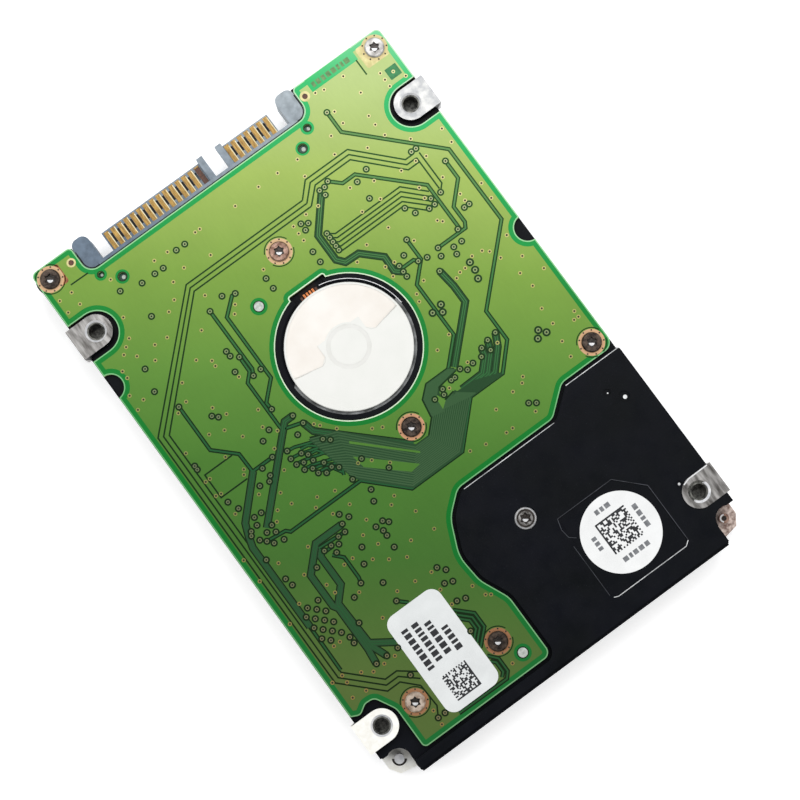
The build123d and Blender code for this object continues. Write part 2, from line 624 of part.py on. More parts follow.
def parking_ramp():
    """Plastic ramp whose fingers reach between the disks' edges and the lift tabs."""
    post = prism(sector(35.8, 38.6, 151, 166), 1.6, FLOOR_IN)
    for low, high in ((2.07, 2.33), (3.08, 3.345), (4.385, 4.65), (5.42, 5.68)):
        post += prism(sector(34.2, 36.0, 152, 163.5), low, high)
    post = at_pivot(post)
    for low in DISK_Z:
        post -= at_spindle(disc(PLATTER_R + 0.6, low - 0.04, low + PLATTER_T + 0.04))
    hole = (PIVOT[0] + polar(37.2, 161)[0], PIVOT[1] + polar(37.2, 161)[1])
    post -= disc(0.5, 1.6, FLOOR_IN, *hole)
    save("parking_ramp", post)
    save("ramp_screw", screw(*hole, 1.6, 0.95, 0.4, 0.5, 5.0, down=True))


def latch():
    """Inertia latch that can hold the coil's tab, and its pin."""
    x, y = LATCH
    lever = polygon([(x - 0.9, y), (29.2, -32.2), (28.3, -32.3), (27.5, -31.9),
                     (28.6, -30.6), (30.4, -30.8), (x + 1.1, y)])
    lever += Pos(x, y) * Circle(1.35)
    lever -= Pos(x, y) * Circle(0.72)
    save("latch_lever", prism(lever, *LATCH_Z))
    pin = disc(0.7, 2.9, BAY_FLOOR, x, y) + disc(1.1, 5.1, BAY_FLOOR, x, y)
    pin += disc(1.1, 2.7, 3.3, x, y)
    save("latch_pin", pin)


def main():
    os.makedirs("parts", exist_ok=True)
    base_casting()
    top_cover()
    gasket()
    cover_screws()
    labels()
    filters()
    circuit_board()
    board_parts()
    connector()
    motor_fixed_parts()
    spindle()
    bearing_parts()
    actuator()
    flex()
    voice_coil_motor()
    parking_ramp()
    latch()


main()
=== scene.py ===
"""Looks of a 2.5-inch hard disk drive that lies on its cover, seen from its board side.

Drawing sizes are in millimetres in the drive's own frame: x across, y towards the
connector, z out of the board side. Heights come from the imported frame.
"""
import math
import random

import bpy
from mathutils import Matrix, Vector
from mathutils.geometry import delaunay_2d_cdt


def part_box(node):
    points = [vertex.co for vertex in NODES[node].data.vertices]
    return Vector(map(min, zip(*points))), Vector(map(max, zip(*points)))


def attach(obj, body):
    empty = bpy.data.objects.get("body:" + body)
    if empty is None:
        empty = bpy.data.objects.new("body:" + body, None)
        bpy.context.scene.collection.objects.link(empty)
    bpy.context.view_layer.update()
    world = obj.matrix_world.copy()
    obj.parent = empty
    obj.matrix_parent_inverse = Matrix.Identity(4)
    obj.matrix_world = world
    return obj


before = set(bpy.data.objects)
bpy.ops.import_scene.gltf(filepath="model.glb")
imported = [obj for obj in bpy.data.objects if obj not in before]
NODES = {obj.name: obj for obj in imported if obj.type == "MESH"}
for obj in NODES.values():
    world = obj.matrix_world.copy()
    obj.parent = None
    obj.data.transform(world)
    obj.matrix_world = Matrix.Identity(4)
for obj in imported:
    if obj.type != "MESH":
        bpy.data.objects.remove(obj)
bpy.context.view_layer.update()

MM = 0.001
BODY = "case"


def top_of(node):
    """Height of a node's highest point, in millimetres."""
    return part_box(node)[1][2] / MM


def bottom_of(node):
    """Height of a node's lowest point, in millimetres."""
    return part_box(node)[0][2] / MM


def centre_of(node):
    """Middle of a node's box, x and y, in millimetres."""
    low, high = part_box(node)
    return ((low[0] + high[0]) / 2 / MM, (low[1] + high[1]) / 2 / MM)


# ================================================================ driving sizes
BOARD_TOP = top_of("pcb_board")
BOARD_BOTTOM = bottom_of("pcb_board")
SPINDLE = centre_of("motor_base")
LAYER = 0.012                      # step between one printed layer and the next
SUNK = 0.02                        # how deep a thin edge sits in the face under it
PLANE_INSET = 0.92                 # copper-free band along the board's edge
RIM_WIDTH = 0.19                   # pale cut edge of the mask, partly a painted highlight
SEGMENTS = 20


# ================================================================ materials
def linear(red, green, blue):
    """Shader colour from an everyday 0 to 255 colour."""
    def channel(value):
        value /= 255
        return value / 12.92 if value <= 0.04045 else ((value + 0.055) / 1.055) ** 2.4
    return (channel(red), channel(green), channel(blue), 1.0)


class Paint:
    """A node material under construction."""

    def __init__(self, name, roughness=0.5, metallic=0.0, **sockets):
        self.material = bpy.data.materials.new(name)
        self.material.use_nodes = True
        self.tree = self.material.node_tree
        self.shader = self.tree.nodes["Principled BSDF"]
        self.shader.inputs["Roughness"].default_value = roughness
        self.shader.inputs["Metallic"].default_value = metallic
        for socket, value in sockets.items():
            self.shader.inputs[socket.replace("_", " ")].default_value = value
        self.place = self.add("ShaderNodeTexCoord").outputs["Object"]

    def add(self, kind, **settings):
        node = self.tree.nodes.new(kind)
        for key, value in settings.items():
            if key in node.inputs:
                node.inputs[key].default_value = value
            else:
                setattr(node, key, value)
        return node

    def link(self, source, target):
        self.tree.links.new(source, target)
        return target

    def squeeze(self, x, y, z):
        """Coordinates stretched along the axes, for brushed and layered surfaces."""
        mapping = self.add("ShaderNodeMapping")
        mapping.inputs["Scale"].default_value = (x, y, z)
        self.link(self.place, mapping.inputs["Vector"])
        return mapping.outputs["Vector"]

    def noise(self, size, detail=2.0, place=None):
        """Cloudy pattern with features of that size in millimetres."""
        node = self.add("ShaderNodeTexNoise", Scale=1 / (size * MM), Detail=detail)
        self.link(place or self.place, node.inputs["Vector"])
        return node.outputs["Fac"]

    def rings(self, centre, spacing):
        """Fine turning marks about an upright axis."""
        mapping = self.add("ShaderNodeMapping")
        mapping.inputs["Location"].default_value = (-centre[0] * MM, -centre[1] * MM, 0)
        mapping.inputs["Scale"].default_value = (1, 1, 0)
        self.link(self.place, mapping.inputs["Vector"])
        length = self.add("ShaderNodeVectorMath", operation="LENGTH")
        self.link(mapping.outputs["Vector"], length.inputs[0])
        scaled = self.add("ShaderNodeMath", operation="MULTIPLY")
        scaled.inputs[1].default_value = 1 / (spacing * MM)
        self.link(length.outputs["Value"], scaled.inputs[0])
        node = self.add("ShaderNodeTexNoise", noise_dimensions="1D", Scale=1.0, Detail=3.0)
        self.link(scaled.outputs["Value"], node.inputs["W"])
        return node.outputs["Fac"]

    def slope(self, *stops):
        """Painted sheen: colours that pale along the drive's diagonal towards the lamp-lit corner,
        from stops at millimetre places.
        """
        low, high = stops[0][0], stops[-1][0]
        dot = self.add("ShaderNodeVectorMath", operation="DOT_PRODUCT")
        self.link(self.place, dot.inputs[0])
        dot.inputs[1].default_value = (0.6, 0.8, 0.0)
        node = self.add("ShaderNodeMapRange")
        node.inputs["From Min"].default_value = low * MM
        node.inputs["From Max"].default_value = high * MM
        self.link(dot.outputs["Value"], node.inputs["Value"])
        return self.ramp(node.outputs["Result"], *[
            ((place - low) / (high - low), linear(*colour)) for place, colour in stops])

    def ramp(self, factor, *stops):
        """Colour ramp, each stop a position and a colour."""
        node = self.add("ShaderNodeValToRGB")
        elements = node.color_ramp.elements
        elements.remove(elements[1])
        elements[0].position, elements[0].color = stops[0]
        for position, colour in stops[1:]:
            elements.new(position).color = colour
        self.link(factor, node.inputs["Fac"])
        return node.outputs["Color"]

    def levels(self, factor, low, high):
        """A 0 to 1 pattern brought between two values."""
        node = self.add("ShaderNodeMapRange")
        node.inputs["From Min"].default_value = 0.3
        node.inputs["From Max"].default_value = 0.7
        node.inputs["To Min"].default_value = low
        node.inputs["To Max"].default_value = high
        self.link(factor, node.inputs["Value"])
        return node.outputs["Result"]

    def mix(self, factor, first, second, blend="MIX"):
        """Mix of two colours, each a socket or a colour."""
        node = self.add("ShaderNodeMix", data_type="RGBA", blend_type=blend)
        for value, target in ((factor, 0), (first, 6), (second, 7)):
            if isinstance(value, (float, int, tuple)):
                node.inputs[target].default_value = value
            else:
                self.link(value, node.inputs[target])
        return node.outputs[2]

    def colour(self, value):
        """Sets the base colour from a socket or a colour."""
        if isinstance(value, tuple):
            self.shader.inputs["Base Color"].default_value = value
        else:
            self.link(value, self.shader.inputs["Base Color"])
        return self

    def rough(self, factor):
        self.link(factor, self.shader.inputs["Roughness"])
        return self

    def bump(self, factor, depth, strength=1.0):
        """Surface relief of that depth in millimetres."""
        node = self.add("ShaderNodeBump", Distance=depth * MM, Strength=strength)
        self.link(factor, node.inputs["Height"])
        self.link(node.outputs["Normal"], self.shader.inputs["Normal"])
        return self


def cloudy(name, dark, light, size, depth=0.0, grain=0.1, **settings):
    """Two close colours mixed in clouds, with a fine relief."""
    paint = Paint(name, **settings)
    paint.colour(paint.ramp(paint.noise(size, 4.0), (0.35, linear(*dark)), (0.65, linear(*light))))
    if depth:
        paint.bump(paint.noise(grain, 3.0), depth)
    return paint.material


def brushed(name, dark, light, stretch, roughness=0.34, size=0.35, metallic=1.0):
    """Metal with fine lines along one axis."""
    paint = Paint(name, roughness=roughness, metallic=metallic)
    lines = paint.noise(size, 5.0, paint.squeeze(*stretch))
    paint.colour(paint.ramp(lines, (0.3, linear(*dark)), (0.7, linear(*light))))
    paint.rough(paint.levels(lines, roughness - 0.06, roughness + 0.08))
    return paint.bump(lines, 0.004).material


def turned(name, centre, dark, light, roughness, spacing=0.12, metallic=1.0):
    """Metal with turning marks about an upright axis."""
    paint = Paint(name, roughness=roughness, metallic=metallic)
    marks = paint.rings(centre, spacing)
    cloud = paint.ramp(paint.noise(4.0), (0.3, linear(*dark)), (0.7, linear(*light)))
    paint.colour(paint.mix(0.25, cloud, paint.ramp(
        marks, (0.3, linear(*dark)), (0.7, linear(*light)))))
    return paint.bump(marks, 0.003).material


def black_paint():
    """Blue-black cathodic paint with a fine orange peel and small light specks."""
    paint = Paint("casting_black", roughness=0.4, Specular_IOR_Level=0.1)
    peel = paint.noise(0.22, 3.0)
    shade = paint.ramp(paint.noise(9.0, 5.0), (0.3, linear(9, 12, 15)), (0.7, linear(13, 15, 22)))
    specks = paint.ramp(paint.noise(0.09, 1.0), (0.72, (0, 0, 0, 1)), (0.8, (1, 1, 1, 1)))
    paint.colour(paint.mix(paint.levels(specks, 0.0, 0.35), shade, linear(84, 88, 98)))
    paint.rough(paint.levels(paint.noise(3.0, 4.0), 0.30, 0.46))
    return paint.bump(peel, 0.012).material


def mask_paint(name, *stops, roughness=0.3, weave_depth=0.004, clouds=9.0, dullest=0.93):
    """A colour that pales towards one corner as a painted sheen of the lamps, with soft clouds and
    a fine weave.
    """
    paint = Paint(name, roughness=roughness, Specular_IOR_Level=0.2)
    cloud = paint.ramp(paint.noise(clouds, 4.0), (0.3, (dullest, dullest, dullest, 1)),
                       (0.7, (1, 1, 1, 1)))
    weave = paint.noise(0.4, 2.0, paint.squeeze(1.0, 0.25, 1.0))
    fibre = paint.ramp(weave, (0.35, (0.975, 0.98, 0.975, 1)), (0.65, (1, 1, 1, 1)))
    shade = paint.mix(1.0, paint.slope(*stops), cloud, "MULTIPLY")
    paint.colour(paint.mix(1.0, shade, fibre, "MULTIPLY"))
    return paint.bump(weave, weave_depth).material


def label_paper(name, tint):
    """Coated label stock with faint fibres."""
    paint = Paint(name, roughness=0.42, Coat_Weight=0.15)
    cloud = paint.noise(2.5, 4.0)
    dull = tuple(value - 9 for value in tint)
    paint.colour(paint.ramp(cloud, (0.3, linear(*dull)), (0.7, linear(*tint))))
    return paint.bump(paint.noise(0.06, 2.0), 0.002).material


BLACK = black_paint()
BARE = cloudy("machined_white", (178, 180, 183), (232, 232, 229), 1.6, 0.004, 0.1,
              roughness=0.42, metallic=0.3)
GREY_MACHINED = brushed("machined_grey", (98, 95, 92), (186, 184, 182), (1.6, 0.35, 1), 0.34, 0.9, 0.8)
# Bright metal for painted highlights: glints, lit chamfers and the lit end of the left cover
# screw.
PAINTED_GLINT = cloudy("machined_metal_painted_glint", (214, 216, 220), (250, 250, 250), 0.8, roughness=0.3,
               metallic=0.3)
# Dark threaded bores, also used as painted shade in the lug holes and on one side of a chamfer.
THREAD_AND_SHADE = cloudy("threaded_hole_and_painted_shade", (34, 35, 33), (124, 124, 118), 0.45, roughness=0.4,
                metallic=0.4)
# Lighter copy of the bare metal: painted light on the lower-left lug and the left ear.
RAW_DULL = cloudy("bare_cast_metal", (244, 242, 234), (255, 255, 250), 0.9, 0.006, 0.12,
                  roughness=0.45)
# Pinkish brown copy of the bare metal, for the right ear.
RAW_PINK = cloudy("pinkish_cast_metal", (128, 100, 90), (236, 218, 208), 0.7, 0.01, 0.12,
                  roughness=0.38, metallic=0.2)
# The slopes below pale towards one corner: a painted sheen of the lamps over each surface's own
# colour.
MASK = mask_paint("mask_on_laminate", (-45, (24, 108, 48)), (-15, (8, 116, 38)),
                  (15, (12, 134, 50)), (35, (20, 168, 80)), (51, (50, 196, 112)),
                  (62, (136, 226, 168)))
PLANE = mask_paint("mask_on_copper", (-45, (84, 106, 52)), (-25, (66, 110, 44)),
                   (-10, (74, 122, 46)), (4, (96, 142, 56)), (20, (126, 163, 66)),
                   (36, (163, 189, 92)), (52, (190, 211, 135)))
# Pale cut edges of the mask, partly a painted highlight along the board's edge and round the motor
# hole.
RIM = mask_paint("mask_cut_edge", (-45, (120, 170, 120)), (0, (120, 186, 126)),
                 (40, (176, 232, 176)), (52, (200, 240, 200)))
BRIGHT_RIM = cloudy("mask_round_motor_hole", (206, 232, 196), (228, 246, 216), 1.5, roughness=0.4)
LAMINATE = cloudy("laminate_edge", (110, 132, 74), (160, 172, 112), 0.3, 0.01, 0.1, roughness=0.6)
GAP = mask_paint("mask_in_gaps", (-45, (16, 36, 12)), (-10, (8, 40, 10)),
                 (20, (14, 58, 12)), (50, (30, 88, 24)))
TRACE = mask_paint("mask_on_traces", (-45, (40, 84, 46)), (-10, (30, 88, 48)),
                   (20, (60, 122, 62)), (50, (112, 160, 90)))
BUS = mask_paint("mask_over_bus", (-20, (42, 76, 46)), (0, (34, 70, 38)), (20, (30, 72, 36)))
BUS_LINE = mask_paint("mask_on_bus_lines", (-20, (66, 96, 64)), (0, (54, 90, 54)),
                      (20, (54, 96, 52)))
MARK = cloudy("corner_mark", (28, 116, 60), (46, 140, 78), 0.6, roughness=0.4)
VIA_TAN = mask_paint("via_plating", (-45, (140, 120, 66)), (-10, (132, 138, 74)),
                     (20, (196, 190, 112)), (50, (244, 236, 170)))
VIA_PALE = mask_paint("via_under_mask", (-45, (118, 112, 78)), (-10, (102, 118, 80)),
                      (20, (150, 170, 112)), (50, (212, 220, 162)))
TEAL = cloudy("teal_well", (10, 44, 34), (30, 96, 80), 0.5, roughness=0.3)
HOLE = cloudy("drilled_hole", (14, 24, 10), (26, 36, 18), 0.5, roughness=0.7)
COPPER = mask_paint("oxidised_copper", (-45, (156, 112, 80)), (-30, (150, 104, 72)),
                    (-5, (206, 154, 118)), (22, (222, 184, 142)), (52, (228, 210, 152)))
RED_PAD = cloudy("red_copper", (128, 78, 50), (176, 116, 76), 0.6, 0.006, 0.08,
                 roughness=0.42, metallic=0.45)
CREAM_PAD = cloudy("tinned_pad", (200, 190, 128), (226, 216, 156), 0.8, 0.004, 0.08,
                   roughness=0.4, metallic=0.2)
PIN_METAL = cloudy("pin_metal", (160, 168, 162), (206, 212, 206), 0.6, roughness=0.4,
                   metallic=0.3)
# Painted highlights on the casting's edges, strong and faint.
EDGE_HIGHLIGHT = cloudy("painted_edge_highlight", (150, 152, 154), (236, 238, 238), 1.6, roughness=0.4,
                   metallic=0.3)
FAINT_EDGE_HIGHLIGHT = cloudy("painted_faint_edge_highlight", (30, 33, 39), (66, 69, 76), 2.4, roughness=0.4)
# Painted shade: in driver sockets, round the pivot and at the cover screws' ends.
SOCKET_SHADE = cloudy("painted_socket_shade", (30, 26, 24), (74, 68, 64), 0.3, roughness=0.3,
                     metallic=0.5)
WHITE_LABEL = label_paper("label_white", (228, 231, 231))
ROUND_LABEL = label_paper("round_label_white", (243, 244, 244))
INK = cloudy("label_ink", (16, 18, 22), (30, 32, 38), 0.6, roughness=0.55)
PALE_INK = cloudy("label_pale_ink", (104, 106, 110), (128, 130, 134), 0.6, roughness=0.55)
STRIP_INK = cloudy("strip_ink", (84, 128, 76), (120, 160, 100), 0.6, roughness=0.5)
# Slate plastic with a painted sheen, paler towards the same lamp-lit corner.
SLATE = mask_paint("slate_plastic", (10, (92, 105, 119)), (25, (116, 132, 150)),
                   (50, (184, 194, 201)), roughness=0.5, weave_depth=0.002, clouds=1.1,
                   dullest=0.66)
GOLD = brushed("contact_gold", (104, 76, 36), (204, 164, 88), (5, 0.5, 1), 0.34, 0.6, 0.5)
# Painted highlight along one edge of each contact.
GOLD_HIGHLIGHT = cloudy("painted_contact_highlight", (236, 218, 164), (252, 242, 206), 0.8, roughness=0.34)
STEEL = cloudy("plated_steel", (150, 147, 144), (224, 222, 219), 1.3, 0.003, 0.2,
               roughness=0.34, metallic=0.5)
DARK_STEEL = cloudy("blackened_steel", (36, 29, 26), (92, 79, 70), 0.7, 0.006, 0.1,
                    roughness=0.36, metallic=0.7)
BEIGE_STEEL = cloudy("beige_steel", (140, 114, 94), (214, 196, 180), 1.0, 0.003, 0.2,
                     roughness=0.36, metallic=0.5)
BROWN_STEEL = cloudy("brown_steel", (120, 88, 74), (186, 152, 136), 0.7, 0.006, 0.1,
                     roughness=0.36, metallic=0.6)
DISC = turned("motor_disc", SPINDLE, (231, 232, 227), (237, 237, 233), 0.45, metallic=0.1)
# Painted shade on the motor disc's relief floor, with its pinkish tone, and on its step and
# groove.
DISC_LOW_SHADED = cloudy("motor_disc_relief_painted_shade", (238, 232, 224), (246, 242, 236), 6.0, roughness=0.45)
DISC_STEP_SHADE = cloudy("motor_disc_step_painted_shade", (208, 207, 201), (224, 223, 218), 2.0, roughness=0.45)
DISC_GROOVE_SHADE = cloudy("motor_disc_groove_painted_shade", (224, 224, 219), (230, 230, 226), 2.0, roughness=0.5)
BEVEL = brushed("motor_bevel", (74, 76, 76), (176, 178, 180), (1, 1, 1), 0.34, 1.8, 0.5)
LEAD_FILM = cloudy("lead_film", (9, 7, 7), (30, 16, 12), 0.5, roughness=0.4,
                   Specular_IOR_Level=0.15)
FLEX = cloudy("flex_film", (150, 80, 34), (196, 118, 60), 0.6, roughness=0.3, Coat_Weight=0.5)
LEAD = cloudy("motor_lead", (196, 98, 40), (236, 150, 84), 0.3, roughness=0.35, metallic=0.3)
# Brown of the motor leads, also used as painted shade over the last contact.
BROWN_LEAD_AND_SHADE = cloudy("motor_lead_brown_and_painted_shade", (66, 34, 20), (104, 58, 34), 0.3, roughness=0.4)
COVER = brushed("cover_aluminium", (164, 167, 172), (212, 214, 218), (8, 1, 1), 0.36)
# Black foam, also used as painted shade in the connector's slots and as painted shadow lines.
BLACK_FOAM_AND_SHADE = cloudy("black_foam_and_painted_shade", (18, 18, 19), (30, 30, 32), 0.4, 0.03, 0.2, roughness=0.85)
EPOXY = cloudy("moulded_epoxy", (24, 24, 26), (38, 38, 40), 0.8, 0.01, 0.08, roughness=0.55)
FELT = cloudy("filter_felt", (206, 204, 194), (236, 234, 226), 0.3, 0.06, 0.12, roughness=0.95)
FILM = cloudy("insulating_film", (20, 22, 26), (34, 36, 40), 2.0, 0.01, 0.4, roughness=0.35)
LAMINATIONS = brushed("lamination_steel", (96, 96, 98), (136, 136, 138), (1, 1, 12), 0.42, 0.2)
WINDING = brushed("enamelled_copper", (150, 74, 36), (206, 116, 66), (1, 1, 8), 0.34, 0.12)
GROUND = turned("ground_steel", SPINDLE, (168, 168, 172), (208, 208, 210), 0.26)
MACHINED = turned("machined_aluminium", SPINDLE, (184, 186, 190), (222, 223, 226), 0.32)
PLATTER = turned("coated_disk", SPINDLE, (176, 176, 180), (206, 206, 210), 0.08, 0.4)
NICKEL = cloudy("nickel_plate", (170, 168, 162), (206, 204, 198), 1.5, 0.003, 0.3,
                roughness=0.24, metallic=1.0)
RAMP = cloudy("natural_plastic", (214, 208, 190), (232, 227, 212), 1.0, 0.006, 0.1, roughness=0.45)
CERAMIC = cloudy("ceramic", (30, 30, 34), (48, 48, 54), 0.2, roughness=0.3)

NODE_PAINT = {
    "base_casting": BLACK, "top_cover": COVER, "cover_gasket": BLACK_FOAM_AND_SHADE, "cover_screws": STEEL,
    "board_label": WHITE_LABEL, "round_label": ROUND_LABEL, "cover_label": WHITE_LABEL,
    "breather_filter": FELT, "recirculation_filter": FELT, "pcb_board": MASK,
    "pcb_screws": DARK_STEEL, "controller_chip": EPOXY, "memory_chips": EPOXY,
    "motor_driver_chip": EPOXY, "board_passives": EPOXY, "motor_contact_block": EPOXY,
    "board_insulator": FILM, "head_connector_socket": EPOXY, "connector_housing": SLATE,
    "power_contacts": GOLD, "signal_contacts": GOLD, "motor_base": DISC, "motor_flex": LEAD_FILM,
    "stator_core": LAMINATIONS, "stator_windings": WINDING, "bearing_sleeve": GROUND,
    "motor_end_cap": DISC, "spindle_shaft": GROUND, "spindle_hub": MACHINED,
    "rotor_magnet": NICKEL, "platter_cover_side": PLATTER, "platter_board_side": PLATTER,
    "platter_spacer": MACHINED, "platter_clamp": MACHINED, "clamp_screws": STEEL,
    "pivot_shaft": GROUND, "pivot_inner_races": GROUND, "pivot_outer_races": GROUND,
    "pivot_balls": GROUND, "pivot_sleeve": GROUND, "pivot_screw": STEEL,
    "actuator_arm": MACHINED, "voice_coil": WINDING, "coil_overmould": EPOXY,
    "suspensions": STEEL, "head_sliders": CERAMIC, "preamp_chip": EPOXY, "flex_cable": FLEX,
    "flex_bracket": MACHINED, "head_connector_plug": EPOXY, "yoke_cover_side": NICKEL,
    "yoke_board_side": NICKEL, "yoke_magnets": NICKEL, "yoke_spacers": GROUND,
    "yoke_screws": STEEL, "crash_stops": BLACK_FOAM_AND_SHADE, "parking_ramp": RAMP, "ramp_screw": STEEL,
    "latch_lever": EPOXY, "latch_pin": GROUND,
}


def dress(node, *materials):
    """Gives a CAD node its materials, the first of them on every face."""
    slots = NODES[node].data.materials
    slots.clear()
    for material in materials:
        slots.append(material)
    for face in NODES[node].data.polygons:
        face.material_index = 0


def repaint(node, index, chosen):
    """Moves the faces that a test picks to another of the node's materials."""
    for face in NODES[node].data.polygons:
        if chosen(face.center / MM, face.normal):
            face.material_index = index


# ================================================================ mesh helpers
def add_mesh(name, points, faces, material, body=BODY):
    """A piece made of points in millimetres, riding on a body."""
    mesh = bpy.data.meshes.new(name)
    mesh.from_pydata([(x * MM, y * MM, z * MM) for x, y, z in points], [], faces)
    mesh.validate()
    mesh.materials.append(material)
    piece = bpy.data.objects.new(name, mesh)
    bpy.context.scene.collection.objects.link(piece)
    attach(piece, body)
    return piece


def plates(name, shapes, low, high, material, body=BODY, lifts=None):
    """Closed flat plates, each from a convex outline or from a pair of matching rings.

    Lifts are small extra heights that keep overlapping plates from sharing a face.
    """
    points = []
    faces = []
    ground, roof = low, high
    for number, shape in enumerate(shapes):
        start = len(points)
        low, high = (level + (lifts[number] if lifts else 0.0) for level in (ground, roof))
        if isinstance(shape, tuple):
            outer, inner = shape
            count = len(outer)
            for ring, height in ((outer, high), (inner, high), (inner, low), (outer, low)):
                points += [(x, y, height) for x, y in ring]
            for band in range(4):
                for i in range(count):
                    j = (i + 1) % count
                    a = start + band * count
                    b = start + (band + 1) % 4 * count
                    faces.append((a + i, a + j, b + j, b + i))
        else:
            count = len(shape)
            points += [(x, y, high) for x, y in shape] + [(x, y, low) for x, y in shape]
            faces.append(tuple(start + i for i in range(count)))
            faces.append(tuple(start + count + i for i in reversed(range(count))))
            for i in range(count):
                j = (i + 1) % count
                faces.append((start + j, start + i, start + count + i, start + count + j))
    return add_mesh(name, points, faces, material, body)


def is_inside(x, y, loops):
    """Whether a point is inside an odd number of outlines."""
    crossings = 0
    for loop in loops:
        for (ax, ay), (bx, by) in zip(loop, loop[1:] + loop[:1]):
            if (ay > y) != (by > y) and x < ax + (y - ay) * (bx - ax) / (by - ay):
                crossings += 1
    return crossings % 2 == 1


def filled(name, loops, low, high, material, body=BODY):
    """Closed plate inside outlines, where an outline inside another is a hole."""
    points = []
    edges = []
    for loop in loops:
        start = len(points)
        points += [Vector(point) for point in loop]
        edges += [(start + i, start + (i + 1) % len(loop)) for i in range(len(loop))]
    everything = 0
    flat, _, triangles, *_ = delaunay_2d_cdt(points, edges, [], everything, 1e-5)
    faces = []
    for triangle in triangles:
        middle = sum((flat[i] for i in triangle), Vector((0, 0))) / 3
        if is_inside(middle.x, middle.y, loops):
            faces.append(tuple(triangle))
    count = len(flat)
    sides = {(a, b) for face in faces for a, b in zip(face, face[1:] + face[:1])}
    walls = [(b, a, a + count, b + count) for a, b in sorted(sides) if (b, a) not in sides]
    underside = [tuple(i + count for i in reversed(face)) for face in faces]
    solid = [(x, y, high) for x, y in flat] + [(x, y, low) for x, y in flat]
    return add_mesh(name, solid, faces + underside + walls, material, body)


def circle(x, y, radius, count=SEGMENTS, start=0.0, turn=360.0):
    """Points on a circle, or on an arc if turn is less than a full one."""
    steps = count if turn == 360.0 else count - 1
    angles = [math.radians(start + turn * i / steps) for i in range(count)]
    return [(x + radius * math.cos(a), y + radius * math.sin(a)) for a in angles]


def annulus(x, y, outer, inner, count=SEGMENTS):
    return (circle(x, y, outer, count), circle(x, y, inner, count))


def crescent(x, y, outer, inner, start, turn, count=20):
    """Part of a ring, as short pieces side by side."""
    far = circle(x, y, outer, count, start, turn)
    near = circle(x, y, inner, count, start, turn)
    return [[near[i], far[i], far[i + 1], near[i + 1]] for i in range(count - 1)]


def rounded(x0, x1, y0, y1, radius, count=6):
    """Rectangle with round corners, anticlockwise."""
    points = []
    for x, y, start in ((x1 - radius, y1 - radius, 0), (x0 + radius, y1 - radius, 90),
                        (x0 + radius, y0 + radius, 180), (x1 - radius, y0 + radius, 270)):
        points += circle(x, y, radius, count, start, 90.0)
    return points


def miter(points, i, side, closed=False):
    """Point beside corner i of a path, at a distance to its left."""
    count = len(points)
    here = Vector(points[i])
    before = Vector(points[i - 1]) if i or closed else None
    after = Vector(points[(i + 1) % count]) if i < count - 1 or closed else None
    runs = []
    if before is not None:
        runs.append((here - before).normalized())
    if after is not None:
        runs.append((after - here).normalized())
    normals = [Vector((-run.y, run.x)) for run in runs]
    total = normals[0] + normals[-1]
    scale = side / max(0.35, 1 + normals[0].dot(normals[-1]))
    return tuple(here + total * scale)


def ribbon(path, width):
    """Outlines of the runs of a flat strip with mitred corners."""
    left = [miter(path, i, width / 2) for i in range(len(path))]
    right = [miter(path, i, -width / 2) for i in range(len(path))]
    return [[right[i], right[i + 1], left[i + 1], left[i]] for i in range(len(path) - 1)]


def ribbons(name, paths, width, low, high, material):
    """One piece of many flat strips."""
    shapes = []
    lifts = []
    for number, path in enumerate(paths):
        for quad in ribbon(path, width):
            shapes.append(quad)
            lifts.append(0.00015 * number)
    return plates(name, shapes, low, high, material, lifts=lifts)


def top_loops(node):
    """Outlines of a node's flat top, in millimetres, each with the material on its left."""
    mesh = NODES[node].data
    height = max(v.co.z for v in mesh.vertices)
    following = {}
    used = set()
    for face in mesh.polygons:
        if all(abs(mesh.vertices[i].co.z - height) < 1e-6 for i in face.vertices):
            ring = [tuple(round(c / MM, 4) for c in mesh.vertices[i].co[:2])
                    for i in face.vertices]
            for a, b in zip(ring, ring[1:] + ring[:1]):
                used.add((a, b))
    for a, b in used:
        if (b, a) not in used:
            following[a] = b
    loops = []
    while following:
        start, point = following.popitem()
        loop = [start]
        while point != start and point in following:
            loop.append(point)
            point = following.pop(point)
        if len(loop) > 2:
            loops.append(loop)
    return sorted(loops, key=len, reverse=True)


def gap_to(point, loop):
    """Distance from a point to a closed outline."""
    best = 1e9
    px, py = point
    for (ax, ay), (bx, by) in zip(loop, loop[1:] + loop[:1]):
        dx, dy = bx - ax, by - ay
        t = ((px - ax) * dx + (py - ay) * dy) / max(dx * dx + dy * dy, 1e-12)
        t = min(1, max(0, t))
        best = min(best, math.hypot(px - ax - t * dx, py - ay - t * dy))
    return best


def shifted(loop, distance):
    """Outline moved into the material, point for point."""
    return [miter(loop, i, distance, closed=True) for i in range(len(loop))]


def crossing(first, along, second, towards):
    """Where two lines meet, each given by a point and a direction."""
    turn = along.x * towards.y - along.y * towards.x
    if abs(turn) < 0.05:
        return (first + second) / 2
    across = second - first
    return first + along * (across.x * towards.y - across.y * towards.x) / turn


def inset(loop, distance):
    """Outline moved into the material, sharp where a small round corner vanishes."""
    moved = shifted(loop, distance)
    kept = [gap_to(point, loop) > distance * 0.96 for point in moved]
    count = len(loop)
    first = kept.index(True)
    points = []
    before = first
    for step in range(1, count + 1):
        here = (first + step) % count
        if not kept[here]:
            continue
        if here != (before + 1) % count:
            leave = Vector(loop[(before + 1) % count]) - Vector(loop[before])
            enter = Vector(loop[here]) - Vector(loop[here - 1])
            corner = crossing(Vector(moved[before]), leave, Vector(moved[here]), enter)
            points.append(tuple(corner))
        points.append(moved[here])
        before = here
    return points


